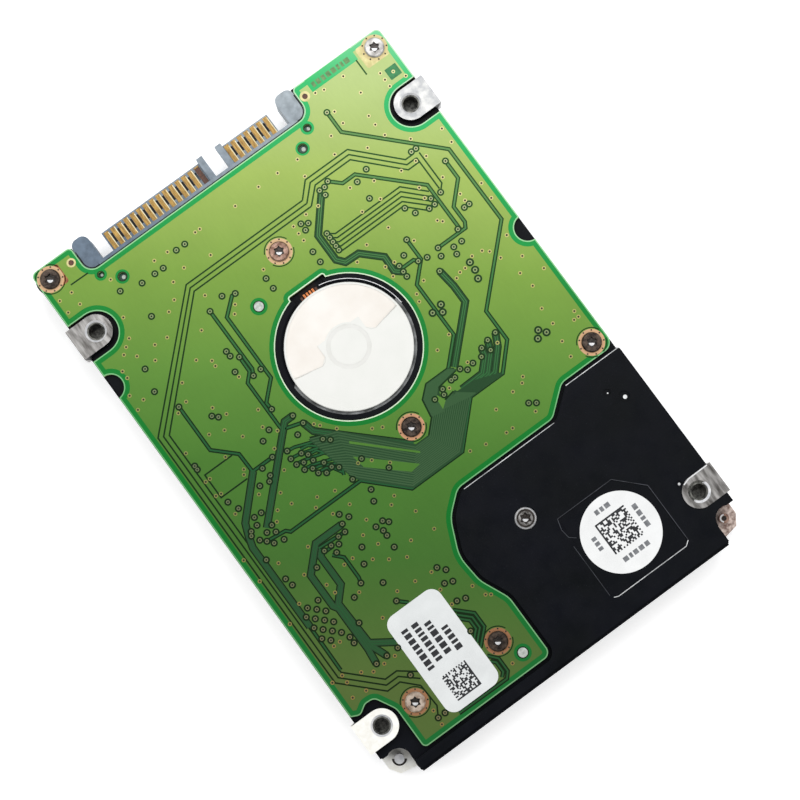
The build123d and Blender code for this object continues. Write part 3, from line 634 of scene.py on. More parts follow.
# ================================================================ floor, light and camera
def build_stage():
    """Pale floor, soft lights and the camera nearly above the drive."""
    paper = Paint("floor_paper", roughness=0.9, Emission_Color=(1, 1, 1, 1),
                  Emission_Strength=0.4)
    paper.colour(paper.ramp(paper.noise(60.0), (0.3, (0.95, 0.95, 0.95, 1)),
                            (0.7, (0.97, 0.97, 0.97, 1))))
    half = 3000
    mesh = bpy.data.meshes.new("floor")
    corners = [(-half, -half), (half, -half), (half, half), (-half, half)]
    mesh.from_pydata([(x * MM, y * MM, -0.02 * MM) for x, y in corners], [], [(0, 1, 2, 3)])
    mesh.materials.append(paper.material)
    floor = bpy.data.objects.new("floor", mesh)
    bpy.context.scene.collection.objects.link(floor)

    world = bpy.data.worlds.new("studio")
    world.use_nodes = True
    world.node_tree.nodes["Background"].inputs["Color"].default_value = (1, 1, 1, 1)
    world.node_tree.nodes["Background"].inputs["Strength"].default_value = 0.25
    bpy.context.scene.world = world
    bpy.context.scene.view_settings.view_transform = "Standard"

    for name, place, size, power in (
            ("overhead", (190, 250, 560), 420, 1.6),
            ("left", (-300, 260, 400), 420, 1.25),
            ("right", (420, -60, 360), 380, 0.8),
            ("rear", (60, -440, 380), 380, 0.85)):
        lamp = bpy.data.lights.new(name, "AREA")
        lamp.energy = power
        lamp.size = size * MM
        light = bpy.data.objects.new(name, lamp)
        light.location = Vector(place) * MM
        light.rotation_euler = (-light.location).to_track_quat("-Z", "Y").to_euler()
        bpy.context.scene.collection.objects.link(light)

    lens = bpy.data.cameras.new("camera")
    lens.lens = 90.0
    lens.sensor_width = 36.0
    lens.clip_start = 0.01
    camera = bpy.data.objects.new("camera", lens)
    ahead = Vector((0.0392, 0.0629, -0.9973)).normalized()
    up = Vector((0.5897, 0.8042, 0.0739))
    up = (up - ahead * up.dot(ahead)).normalized()
    right = ahead.cross(up)
    turn = Matrix((right, up, -ahead)).transposed().to_4x4()
    camera.matrix_world = Matrix.Translation(Vector((-10.87, -20.97, 323.81)) * MM) @ turn
    bpy.context.scene.collection.objects.link(camera)
    bpy.context.scene.camera = camera


# ================================================================ CAD nodes
LUG_TOP = top_of("base_casting")
LUG_X = 30.86
LUG_Y = (36.1, -40.5)
PIVOT = centre_of("pivot_screw")
RAISED_FACE = bottom_of("round_label") + 0.15
PITCH = 1.27                       # between the connector's contacts
POWER_X = -20.5
SIGNAL_X = 3.25
EARS = ((-32.0, -46.65), (32.15, -46.6))
EAR_TOP = 3.2
PAD_RADII = (2.15, 0.95)           # bare copper round a board screw
PAD_GAP_RADII = (2.45, 2.28)       # mask-free gap outside that copper
PAD_DOT_RING = 1.97                # where its small vias lie
SCREWS = ((-31.9, 47.2), (31.6, 46.9), (0.0, 29.3), (0.45, -5.6), (31.35, -11.65),
          (-24.5, -40.65), (-8.5, -40.7))


def from_spindle(place):
    """Distance from the spindle's axis."""
    return math.hypot(place.x - SPINDLE[0], place.y - SPINDLE[1])


def socket_faces(node, places, index):
    """Painted shade in the driver sockets of screws with their heads at one height."""
    head = top_of(node)
    repaint(node, index, lambda place, normal: head - 0.75 < place.z < head - 0.05 and min(
        math.hypot(place.x - x, place.y - y) for x, y in places) < 0.95)


def dress_nodes():
    """Materials of every CAD node, with bare metal where the casting is machined, and painted
    light and shade on some faces.
    """
    for node, material in NODE_PAINT.items():
        dress(node, material)

    dress("base_casting", BLACK, BARE, GREY_MACHINED, PAINTED_GLINT, THREAD_AND_SHADE, RAW_DULL, RAW_PINK, BEVEL)

    def from_lug(place):
        return min(math.hypot(abs(place.x) - LUG_X, place.y - y) for y in LUG_Y)

    def lug(place, normal):
        side_pad = abs(place.x) > 34.5 and place.z > 4.9
        near = abs(place.x) > 28.0 and min(abs(place.y - y) for y in LUG_Y) < 2.75
        return near and (side_pad or place.z > LUG_TOP - 0.15)

    # Painted shade and light: two lugs get a darker copy of the machined metal and the lower-left
    # lug a lighter copy.
    def shaded_lug(place, normal):
        return lug(place, normal) and place.x * place.y < 0

    def lit_lug(place, normal):
        return lug(place, normal) and place.x < 0 and place.y < 0

    # Painted highlight: the lug chamfers get the bright metal.
    def chamfer(place, normal):
        return from_lug(place) < 1.8 and place.z > 9.0 and 0.5 < normal.z < 0.9

    # Painted shade on the side of the lower-right lug's chamfer away from the light.
    def shaded_chamfer(place, normal):
        across = 0.9 * (place.y - LUG_Y[1]) - 0.45 * (place.x - LUG_X)
        return chamfer(place, normal) and across > 0.1 and place.x > 0 > place.y

    # Threads and painted shade in the lug holes.
    def lug_hole(place, normal):
        side_drill = abs(place.x) > 32.4 and abs(place.z - 6.5) < 1.26 and abs(normal.x) < 0.95
        near = min(abs(place.y - y) for y in LUG_Y) < 1.3
        return near and (from_lug(place) < 1.3 and 6.4 < place.z < 9.0 or side_drill)

    # Painted light: the left ear gets the lighter copy of the bare metal.
    def left_ear(place, normal):
        return place.x < -29.4 and place.y < -44.4 and 3.1 < place.z < 3.3 and normal.z > 0.9

    def right_ear(place, normal):
        return place.x > 29.4 and place.y < -44.4 and 3.1 < place.z < 3.3 and normal.z > 0.9

    # Painted light: the bevel is bare metal on its lit side only and keeps the black paint on its
    # shaded side.
    def motor_bevel(place, normal):
        lit = place.y - SPINDLE[1] < 0.07 * place.x + 1.0
        return lit and 10.2 < from_spindle(place) < 10.85 and 0.2 < normal.z < 0.9

    for index, chosen in ((1, lug), (2, shaded_lug), (5, lit_lug), (3, chamfer),
                          (4, shaded_chamfer), (4, lug_hole), (5, left_ear), (6, right_ear),
                          (7, motor_bevel)):
        repaint("base_casting", index, chosen)

    dress("motor_base", DISC, DISC_LOW_SHADED, DISC_GROOVE_SHADE)
    face = top_of("motor_base")
    # Painted shade on the relief floor and in the groove.
    repaint("motor_base", 1, lambda place, normal: face - 0.14 < place.z < face - 0.1)
    repaint("motor_base", 2, lambda place, normal: (
        normal.z > 0.9 and face - 0.07 < place.z < face - 0.03))
    # Painted highlight on the left cover screw's end.
    dress("cover_screws", STEEL, PAINTED_GLINT, BROWN_STEEL)
    repaint("cover_screws", 1, lambda place, normal: place.x < 0 and place.y < -44)
    repaint("cover_screws", 2, lambda place, normal: place.x > 0 and place.y < -44)

    dress("pcb_screws", DARK_STEEL, STEEL, BROWN_STEEL, SOCKET_SHADE, BEIGE_STEEL)
    for index, (x, y) in ((1, SCREWS[1]), (2, SCREWS[2]), (4, SCREWS[5])):
        repaint("pcb_screws", index, lambda place, normal: math.hypot(
            place.x - x, place.y - y) < 2)
    # Painted shade in the board screws' sockets.
    socket_faces("pcb_screws", SCREWS, 3)
    dress("pivot_screw", GREY_MACHINED, SOCKET_SHADE, PAINTED_GLINT)
    socket_faces("pivot_screw", (PIVOT,), 1)
    # Painted highlight on the pivot screw's chamfer.
    repaint("pivot_screw", 2, lambda place, normal: 0.2 < normal.z < 0.9 and math.hypot(
        place.x - PIVOT[0], place.y - PIVOT[1]) > 1.52)
    dress("pcb_board", MASK, LAMINATE)
    repaint("pcb_board", 1, lambda place, normal: abs(normal.z) < 0.5)


# ================================================================ board artwork
PINS = ((-7.75, 24.1), (-6.4, -44.4))
RING_HOLES = ((-25.0, 43.1, 1.0, 0.45), (-22.4, 40.8, 1.15, 0.65), (15.3, 42.75, 1.1, 0.55),
              (12.75, 40.5, 1.15, 0.7))
PLATED_HOLES = ((-27.7, 47.4, 0.75), (18.0, 47.1, 0.85))


def group_lines():
    """Three lines that run together round the left side and over the motor."""
    lines = []
    for k in range(3):
        x = -32.85 + 0.85 * k
        high = 33.75 - 0.8 * k
        lines.append([
            (7.8 + 0.3 * k, high), (-15 + 0.2 * k, high), (x, 16.6 - 0.35 * k),
            (x, -30.9 + 0.4 * k), (-27 + 0.4 * k, -36.75 + 0.85 * k),
            (-24.6 + 0.3 * k, -36.75 + 0.85 * k), (-22.3 + 0.6 * k, -39.1 + 0.9 * k)])
        lines.append([
            (7.8 + 0.3 * k, high), (10.1 + 0.4 * k, 36.15 - 0.8 * k),
            (18.4 - 0.3 * k, 36.15 - 0.8 * k), (24.9 - 0.3 * k, 29.35 - 0.8 * k),
            (26.4, 29.35 - 0.8 * k)])
    lines.append([(-22.3, -39.1), (-22.1, -43.1), (-23.05, -44.75)])
    lines.append([(27.35, 29.0), (27.35, 22.9), (26.3, 21.8)])
    lines.append([(26.5, 28.6), (26.5, 22.4)])
    lines.append([(28.05, 44.1), (28.05, 47.0)])
    lines.append([(-29.8, 44.55), (-26.5, 44.5)])
    lines.append([(-25.0, 7.5), (-30.3, 7.5), (-30.3, 3.1), (-25.2, 3.1)])
    return lines


def fan_lines():
    """Five lines from a row of vias to the corner right of the motor."""
    ends = ((24.9, 23.0), (24.5, 22.3), (24.3, 21.5), (23.9, 20.9), (22.9, 20.7))
    lines = []
    for k, end in enumerate(ends):
        y = 26.35 - 0.71 * k
        lines.append([(7.8, y + 0.8 - 0.1 * k), (8.9 - 0.15 * k, y), (21.6 - 0.37 * k, y), end])
    return lines


SINGLE_LINES = [
    [(19.3, 42.9), (19.3, 39.0), (31.5, 26.6), (31.55, 12.6), (20.85, 2.2), (20.85, -3.4),
     (17.1, -7.3), (10.8, -7.3), (4.6, -13.5), (-5.2, -13.5), (-11.0, -7.7), (-24.6, -7.7),
     (-25.2, -7.1), (-28.5, -6.7)],
    [(29.9, 25.4), (29.9, 22.0), (26.6, 18.7), (26.6, 15.7), (26.1, 14.85), (20.7, 14.85)],
    [(12.85, 33.85), (14.6, 32.2), (17.0, 32.2), (25.3, 24.0), (25.3, 15.2)],
    [(17.45, 18.85), (17.45, 15.0), (14.5, 12.1), (14.5, 2.2), (10.5, -1.7)],
    [(14.0, 15.6), (16.4, 15.6), (16.9, 15.0)],
    [(-14.45, 28.05), (-14.4, 16.7), (-14.9, 15.7)],
    [(-14.95, 19.4), (-15.0, 16.6), (-16.3, 15.3), (-16.3, 6.0)],
    [(-9.55, 28.0), (-10.2, 28.0), (-12.85, 25.7), (-12.85, 13.8), (-15.8, 11.0), (-15.7, 9.7)],
    [(-27.3, 18.65), (-27.3, 10.2), (-24.0, 7.0), (-23.9, 3.5)],
    [(-23.8, 3.5), (-20.0, 3.5)],
    [(-15.9, 6.0), (-13.0, 5.1)],
    [(-17.7, -12.75), (-22.6, -12.4)],
    [(-20.6, -13.45), (-23.0, -13.4)],
    [(-21.5, -14.5), (-20.2, -15.9), (-20.2, -19.8), (-20.45, -20.7)],
    [(-17.6, -26.25), (-16.2, -27.6)],
    [(-30.9, -21.5), (-31.0, -29.8)],
    [(-11.3, -32.6), (-8.85, -35.0), (-8.85, -37.6), (-11.3, -39.9)],
    [(-11.3, -33.5), (-9.5, -35.3), (-9.5, -37.3), (-11.3, -39.0)],
    [(-11.3, -34.3), (-10.1, -35.5), (-10.1, -37.1), (-11.3, -38.2)],
    [(-11.2, -41.5), (-10.0, -42.9), (-10.0, -45.3), (-10.8, -46.2), (-20.0, -46.1)],
    [(-11.3, -42.5), (-10.65, -43.2), (-10.65, -45.0), (-11.3, -45.6)],
]

WIDE_LINES = [
    [(11.0, 33.0), (6.5, 27.7), (6.5, 22.9), (7.5, 21.7), (10.0, 21.6), (13.0, 18.7),
     (12.9, 16.0), (14.0, 15.05)],
    [(18.7, 11.7), (19.1, 8.5), (19.1, 5.4), (11.5, -2.0)],
    [(-13.6, 6.9), (-15.2, 6.9), (-27.3, -5.0)],
    [(-23.8, 3.5), (-29.6, -2.4), (-30.3, -4.2), (-30.9, -6.2), (-30.9, -21.5)],
    [(-17.5, -11.5), (-22.5, -11.5), (-26.1, -15.1), (-26.1, -21.0), (-25.6, -21.8),
     (-25.6, -29.7), (-25.9, -32.3)],
    [(-22.3, -12.8), (-23.1, -13.6), (-23.1, -19.0), (-25.2, -21.2), (-24.9, -29.6),
     (-23.85, -32.25)],
    [(-24.9, -29.0), (-21.4, -31.4)],
    [(-12.95, 5.0), (-12.4, 3.0), (-0.9, -8.0)],
    [(20.0, -1.4), (19.0, -3.4), (16.2, -6.4), (10.8, -6.9)],
    [(18.3, -1.65), (17.6, -3.4), (15.2, -5.9), (10.6, -6.2)],
    [(16.8, -2.1), (16.5, -3.4), (14.5, -5.4), (10.4, -5.5)],
]


def bus_lines(density):
    """The broad bundle that sweeps from the controller's vias under the motor."""
    lines = []
    count = 8 * density
    for k in range(count + 1):
        t = k / count
        lines.append([
            (-13.6 + 1.8 * t, 2.3 - 8.1 * t), (-9.6 - 1.5 * t, 0.7 - 7.6 * t),
            (-0.9 - 3.9 * t, -8.6 - 4.6 * t), (1.9 + 2.3 * t, -8.6 - 4.6 * t),
            (4.5 + 6.2 * t, -6.0 - 1.2 * t), (9.2 + 2.6 * t, -5.2 - 2.0 * t)])
    count = 5 * density
    for k in range(count + 1):
        t = k / count
        lines.append([(4.1 + 1.9 * t, -6.2 - 0.5 * t), (4.6 + 1.6 * t, -3.3 - 1.0 * t),
                      (6.4 + 1.2 * t, -1.7 - 1.2 * t), (10.6 + 0.8 * t, -1.7 - 0.6 * t)])
    return lines


FAN_VIAS = ((-17.6, 2.9), (-17.85, 1.6), (-17.7, 0.4), (-17.0, -1.0), (-16.2, -1.8),
            (-15.5, -2.7), (-14.6, -3.35), (-13.2, -3.65), (-15.75, 1.9), (-15.1, 0.45))


def fan_out():
    """Short lines from the controller's vias into the broad bundle."""
    lines = []
    for x, y in FAN_VIAS:
        reach = 0.55 * (x + 13.6) + 0.25 * y
        lines.append([(x, y), (x + 1.3, y - 0.2), (-12.7 - 0.12 * reach, y - 2.0 - 0.3 * reach)])
    return lines


BUS_FIELDS = [
    [(-13.8, 2.4), (-9.4, 0.9), (-0.5, -8.3), (-5.0, -13.6), (-11.3, -7.3), (-12.0, -5.8)],
    [(-0.5, -8.3), (2.2, -8.3), (4.4, -6.0), (10.8, -7.3), (4.5, -13.6), (-5.0, -13.6)],
    [(4.0, -6.2), (4.5, -3.2), (6.4, -1.5), (7.6, -3.0), (6.0, -6.8)],
    [(6.4, -1.5), (10.8, -1.5), (11.6, -2.5), (7.6, -3.0)],
    [(9.0, -5.3), (12.6, -5.4), (17.0, -7.0), (17.0, -7.5), (10.6, -7.4)],
    [(7.4, -6.2), (9.4, -4.9), (10.8, -7.2)],
]

ISLANDS = [
    [(-9.8, -3.9), (-1.9, -11.1), (-3.7, -11.35), (-9.35, -6.3)],
    [(-8.8, -1.6), (-0.7, -9.5), (-0.9, -9.75), (-9.0, -1.95)],
    [(6.0, -4.9), (6.5, -3.5), (7.3, -5.4), (6.0, -6.4)],
]

SMALL_VIAS = (
    (-32.7, 43.5), (-30.4, 43.5), (-32.7, 41.2), (-30.4, 41.2), (-24.2, 41.5), (-16.85, 39.85),
    (-14.35, 39.75), (-8.95, 39.7), (-8.05, 39.7), (-1.35, 39.35), (3.45, 39.65), (7.2, 39.65),
    (11.05, 39.55), (17.6, 39.45), (-26.1, 35.4), (-16.4, 35.3), (-13.7, 36.15), (-9.1, 35.3),
    (10.4, 36.65), (16.3, 36.7), (19.65, 46.55), (21.1, 46.15), (24.85, 46.1), (29.9, 43.0),
    (29.9, 41.7), (29.9, 40.4), (32.95, 40.25), (25.55, 42.3), (20.35, 42.3), (20.35, 40.0),
    (24.35, 38.5), (24.35, 36.75), (21.15, 34.45), (24.6, 34.5), (27.55, 31.55), (32.55, 29.95),
    (32.5, 27.3), (27.9, 27.85), (26.1, 28.2), (23.3, 28.3), (18.85, 29.55), (15.1, 30.9),
    (6.95, 31.6), (9.3, 31.55), (4.2, 31.2), (4.2, 29.8), (4.2, 28.45), (-3.7, 28.45),
    (14.4, 26.65), (17.95, 26.6), (-27.3, 32.15), (-28.5, 31.3), (-29.5, 30.5),
    (-19.75, 31.85), (-17.95, 32.9), (-13.6, 30.6), (-31.2, 28.5), (-31.2, 27.2),
    (-27.95, 29.1), (-24.6, 28.9), (-22.35, 28.7), (-26.0, 26.85), (-17.3, 26.4),
    (-10.6, 26.6), (-11.55, 25.4), (-32.55, 24.7), (-31.15, 22.9), (-32.8, 22.1),
    (-20.75, 23.05), (-24.65, 21.45), (-18.8, 21.5), (-18.85, 20.5), (-25.9, 18.65),
    (-27.95, 17.9), (-16.85, 16.9), (-23.1, 15.4), (-21.9, 13.3), (-26.0, 12.3),
    (-30.7, 12.05), (-23.65, 11.4), (-17.45, 10.9), (-21.9, 8.9), (-26.0, 7.9), (-18.5, 8.25),
    (-16.95, 6.4), (-19.0, 4.4), (-24.8, 4.6), (-25.3, 3.9), (-30.8, 6.55), (-30.0, 6.55),
    (-30.8, 3.8), (-29.95, 3.6), (-11.7, 3.85), (-11.05, 3.1), (24.0, 24.4), (28.0, 23.55),
    (11.85, 21.95), (16.25, 22.15), (23.7, 22.55), (9.0, 20.6), (13.75, 17.1), (12.15, 17.35),
    (18.3, 18.05), (23.2, 18.45), (23.8, 17.85), (28.65, 19.75), (28.65, 18.45), (32.4, 19.15),
    (32.25, 16.3), (12.25, 15.4), (15.75, 12.0), (13.6, 10.9), (13.2, 9.7), (24.25, 10.6),
    (26.05, 10.35), (26.95, 9.55), (20.2, 9.2), (21.2, 9.65), (22.25, 9.7), (30.7, 10.05),
    (27.75, 7.7), (30.7, 5.9), (28.8, 3.9), (32.3, 2.3), (13.9, 2.7), (10.95, 1.75),
    (29.2, 1.1), (28.2, -2.65), (28.2, -5.6), (32.1, -6.05), (31.25, -7.15), (32.1, -7.15),
    (27.7, -8.75), (27.35, -11.5), (19.35, -9.6), (18.65, -10.35), (16.65, -10.6),
    (12.85, -11.3), (12.0, -15.2), (13.2, -15.2), (17.7, -15.2), (13.65, -2.6), (19.3, -2.9),
    (8.9, -4.2), (5.65, -14.15), (8.3, -14.75), (-9.2, 1.15), (-4.7, -2.15), (-3.25, -2.95),
    (-9.7, -5.25), (-7.7, -6.15), (-5.6, -8.15), (-13.9, -13.2), (-8.15, -12.75),
    (-9.35, -13.65), (-6.85, -16.7), (-10.15, -19.95), (-12.2, -21.7), (-6.15, -20.65),
    (-19.75, 0.75), (-25.2, 0.0), (-22.3, -1.8), (-24.3, -3.75), (-21.9, -4.2),
    (-25.45, -5.15), (-18.05, -5.75), (-15.2, -6.6), (-19.2, -7.0), (-17.6, -9.35),
    (-14.6, -9.7), (-29.05, -10.55), (-23.8, -11.2), (-26.85, -14.4), (-15.75, -14.85),
    (-20.85, -16.85), (-19.2, -16.8), (-14.65, -17.35), (-24.95, -17.75), (-30.15, -17.6),
    (-29.5, -18.95), (-24.6, -19.5), (-16.75, -18.8), (-14.7, -20.3), (-21.5, -21.7),
    (-33.2, -6.95), (-33.1, -11.1), (-33.2, -19.3), (-30.0, -0.3), (-29.65, -26.15),
    (-28.5, -26.15), (-20.9, -27.1), (-16.6, -25.1), (-13.4, -25.5), (-10.5, -25.85),
    (-11.0, -28.9), (-10.9, -31.8), (-28.6, -31.95), (-27.0, -33.0), (-24.9, -33.0),
    (-22.85, -33.0), (-31.3, -30.6), (-31.3, -31.9), (-33.2, -30.6), (-32.0, -34.35),
    (-29.65, -34.7), (-23.0, -43.4), (-23.2, -45.9), (-6.6, -31.4), (-5.75, -33.7),
    (-5.05, -34.2), (-8.7, -44.8),
)

RINGED_VIAS = (
    (-24.05, 39.1), (-20.5, 38.1), (-18.0, 38.1), (-16.4, 38.05), (-13.05, 39.15),
    (-11.4, 39.15), (-22.4, 32.9), (-28.1, 26.7), (-14.45, 28.05), (-11.5, 28.9),
    (-9.55, 28.0), (5.4, 30.85), (6.4, 30.25), (5.4, 29.6), (-4.2, 27.05), (-4.2, 25.1),
    (4.3, 26.1), (4.3, 24.1), (16.6, 31.0), (16.6, 27.7), (10.95, 33.4), (11.9, 33.4),
    (12.85, 33.85), (11.25, 32.3), (7.8, 27.15), (7.8, 26.35), (7.8, 25.5), (7.8, 24.7),
    (7.8, 23.9), (19.3, 42.9), (18.95, 31.8), (26.4, 29.8), (27.3, 29.8), (-29.0, 22.9),
    (-16.1, 21.35), (-16.05, 20.4), (-14.95, 19.4), (-27.3, 18.65), (-16.9, 17.9),
    (-14.9, 15.7), (-13.35, 15.85), (-23.95, 14.4), (-23.2, 13.65), (-30.75, 9.6),
    (-30.75, 8.9), (-15.7, 9.7), (-13.6, 6.9), (-17.95, 7.3), (-19.75, 6.4), (-12.95, 5.0),
    (-14.75, 4.0), (-20.05, 3.5), (-22.35, 3.0), (-17.6, 2.9), (29.9, 25.4), (20.2, 23.1),
    (21.1, 21.5), (24.45, 21.9), (23.3, 20.75), (24.4, 20.8), (26.3, 21.8), (17.45, 18.85),
    (15.6, 17.1), (14.0, 16.15), (14.0, 15.05), (14.0, 14.1), (16.9, 15.0), (18.4, 14.65),
    (20.7, 14.85), (25.0, 15.4), (20.3, 13.5), (22.8, 13.5), (22.5, 12.3), (24.35, 13.5),
    (18.7, 11.7), (27.9, 17.6), (28.85, 17.6), (10.6, -3.35), (9.9, -3.35), (12.05, -2.75),
    (12.95, -3.55), (14.25, -3.2), (15.95, -3.2), (16.8, -2.1), (17.75, -3.2), (18.3, -1.65),
    (20.0, -1.4), (17.6, -13.5), (18.6, -14.2), (6.0, -4.3), (7.95, -3.7), (7.6, -4.55),
    (-11.95, 1.1), (-11.05, 0.3), (-13.4, -3.25), (-12.5, -4.0), (-11.9, -6.8),
    (-8.85, -5.0), (-6.2, -8.7), (-10.5, -9.8), (-11.25, -11.55), (-13.35, -15.0),
    (-11.95, -14.85), (-11.25, -15.55), (-12.75, -16.15), (-12.75, -17.1), (-12.9, -19.25),
    (-29.85, 1.9), (-29.1, 0.1), (-24.3, 1.0), (-22.0, 1.35), (-22.65, 0.65), (-17.85, 1.55),
    (-17.65, 0.3), (-16.0, 1.3), (-15.25, 0.5), (-16.55, -0.1), (-15.15, -0.7),
    (-17.1, -1.1), (-15.95, -1.7), (-14.0, -2.0), (-15.65, -2.8), (-14.6, -3.55),
    (-27.9, -2.5), (-26.6, -2.55), (-28.3, -3.75), (-29.6, -4.0), (-30.0, -4.6),
    (-27.7, -5.6), (-26.4, -5.1), (-29.3, -5.9), (-26.5, -6.35), (-28.5, -6.7),
    (-27.75, -7.6), (-26.15, -8.05), (-30.3, -9.0), (-16.85, -10.0), (-15.85, -11.2),
    (-17.35, -11.5), (-19.0, -12.75), (-17.75, -12.75), (-22.1, -13.25), (-20.75, -13.2),
    (-19.65, -13.75), (-20.7, -14.6), (-29.6, -13.2), (-29.3, -14.6), (-24.6, -14.65),
    (-17.0, -16.25), (-18.3, -18.6), (-20.45, -20.7), (-22.6, -21.9), (-24.35, -25.55),
    (-26.8, -26.5), (-26.8, -27.6), (-25.9, -32.3), (-23.85, -32.25), (-21.75, -32.25),
    (-17.6, -26.25), (-17.6, -22.7), (-22.65, -36.85), (-23.05, -44.75), (-21.75, -44.75),
    (-9.4, -25.8), (-8.45, -26.9), (-9.9, -28.5), (-8.65, -29.0), (-9.95, -31.85),
    (-8.6, -32.3), (-11.0, -36.9),
)

LARGE_VIAS = ((23.4, 10.0), (23.35, 8.55), (22.9, 7.15), (13.85, 7.0), (15.7, 7.3),
              (15.2, 6.15), (25.7, -5.1), (24.85, -6.15), (26.55, -6.15))


def via_grid():
    """Staggered field of ringed vias near the left edge."""
    places = []
    for row in range(7):
        shift = 0.0 if row % 2 == 0 else -1.0
        for column in range(2):
            places.append((-27.45 + shift - 2.05 * column, -18.9 - 1.04 * row))
    return places


def board_artwork():
    """Copper plane, lines, vias and pads on the board's face."""
    top = BOARD_TOP
    loops = top_loops("pcb_board")
    outer = loops[:2]
    planes = [inset(loop, PLANE_INSET) for loop in outer] + loops[2:]
    for name, loop, paint in zip(("board_rim", "motor_hole_rim"), outer, (RIM, BRIGHT_RIM)):
        plates(name, [(loop, shifted(loop, RIM_WIDTH))], top, top + LAYER, paint)
    filled("board_copper_plane", planes, top, top + LAYER, PLANE)

    level = top + LAYER
    for name, paths, width, height, paint in (
            ("wide_line_gaps", WIDE_LINES, 1.3, 0.2, GAP),
            ("line_gaps", SINGLE_LINES, 0.7, 0.4, GAP),
            ("bus_edges", bus_lines(1), 0.75, 0.6, GAP),
            ("fan_gaps", fan_out(), 0.62, 0.7, GAP),
            ("group_gaps", group_lines() + fan_lines(), 0.25, 0.8, GAP),
            ("fan_cores", fan_out(), 0.26, 1.1, TRACE),
            ("lines", SINGLE_LINES, 0.27, 1.2, TRACE),
            ("wide_lines", WIDE_LINES, 0.92, 1.3, BUS),
            ("wide_line_cores", WIDE_LINES, 0.5, 1.4, TRACE),
            ("wide_line_splits", WIDE_LINES, 0.16, 1.5, BUS),
            ("bus_lines", bus_lines(2), 0.19, 2.0, BUS_LINE)):
        ribbons(name, paths, width, level, level + height * LAYER, paint)
    plates("bus_fields", BUS_FIELDS, level, level + 1.8 * LAYER, BUS,
           lifts=[0.0005 * i for i in range(len(BUS_FIELDS))])
    plates("bus_islands", ISLANDS, level, level + 2.3 * LAYER, PLANE)

    level = top + 4 * LAYER
    ringed = [(x, y, 1.0) for x, y in RINGED_VIAS + tuple(via_grid())]
    ringed += [(x, y, 1.15) for x, y in LARGE_VIAS]
    plates("via_clearances", [annulus(x, y, 0.57 * k, 0.14 * k) for x, y, k in ringed],
           top + LAYER, level, GAP, lifts=[0.0001 * i for i in range(len(ringed))])
    plates("via_rings", [annulus(x, y, 0.31 * k, 0.16 * k) for x, y, k in ringed],
           top + LAYER, level + 2 * LAYER, VIA_PALE)
    plates("via_holes", [circle(x, y, 0.17, 12) for x, y in
                         RINGED_VIAS + SMALL_VIAS + LARGE_VIAS + tuple(via_grid())],
           top + LAYER, level + LAYER, HOLE)
    plates("tan_vias", [annulus(x, y, 0.33, 0.14, 14) for x, y in SMALL_VIAS],
           top + LAYER, level + 0.7 * LAYER, VIA_TAN)


def screw_pads():
    """Bare copper round each board screw, with its ring of small vias."""
    top = BOARD_TOP
    level = top + 2 * LAYER
    arcs = []
    dots = []
    edge = top_loops("pcb_board")[:1]
    for x, y in SCREWS:
        for start in (24, 209):
            arcs += [piece for piece in crescent(x, y, *PAD_GAP_RADII, start, 132.0)
                     if is_inside(*piece[1], edge) and is_inside(*piece[2], edge)
                     and (x, y) != SCREWS[1]]
        for angle in range(15, 375, 40):
            around = math.radians(angle)
            dots.append(circle(x + PAD_DOT_RING * math.cos(around),
                               y + PAD_DOT_RING * math.sin(around), 0.14, 10))
    plates("pad_arcs", arcs, top + LAYER, level, GAP)
    bore = PAD_RADII[1]
    filled("left_corner_pad", [rounded(-33.2, -29.6, 45.2, 48.7, 0.4),
                               circle(*SCREWS[0], bore, 32)], top, level, RED_PAD)
    filled("right_corner_pad", [rounded(28.8, 33.1, 44.7, 48.5, 0.4),
                                circle(*SCREWS[1], bore, 32)], top, level, CREAM_PAD)
    plates("screw_pads", [annulus(x, y, *PAD_RADII, 40) for x, y in SCREWS],
           top, level + 0.5 * LAYER, COPPER)
    plates("pad_dots", dots, level, level + LAYER, HOLE)


def board_holes():
    """Rims and wells of the board's tooling, plated and pin holes."""
    top = BOARD_TOP
    level = top + 2 * LAYER
    plates("tooling_rings", [annulus(x, y, ring, hole, 28) for x, y, ring, hole in RING_HOLES],
           top, level, MASK)
    plates("tooling_edges", [annulus(x, y, hole + 0.16, hole, 28)
                             for x, y, ring, hole in RING_HOLES], top, level + LAYER, GAP)
    plates("tooling_pegs", [circle(x + 0.1, y - 0.1, 0.5 * hole, 24)
                            for x, y, ring, hole in RING_HOLES],
           BOARD_BOTTOM, BOARD_BOTTOM + 0.3, PIN_METAL)
    plates("tooling_wells", [circle(x, y, hole - 0.02, 24) for x, y, ring, hole in RING_HOLES],
           BOARD_BOTTOM, BOARD_BOTTOM + 0.2, TEAL)
    plates("plated_rings", [annulus(x, y, ring, 0.45, 28) for x, y, ring in PLATED_HOLES],
           top, level + LAYER, CREAM_PAD)
    plates("plated_bores", [circle(x, y, 0.46, 24) for x, y, ring in PLATED_HOLES],
           top, level, BROWN_LEAD_AND_SHADE)
    plates("pin_rings", [annulus(x, y, 1.4, 0.95, 28) for x, y in PINS], top, level, MASK)
    plates("pin_shades", [annulus(x, y, 0.95, 0.78, 28) for x, y in PINS],
           top, level, GAP)
    plates("pin_faces", [circle(x, y, 0.78, 28) for x, y in PINS],
           top + 0.1, top + 0.12, PIN_METAL)


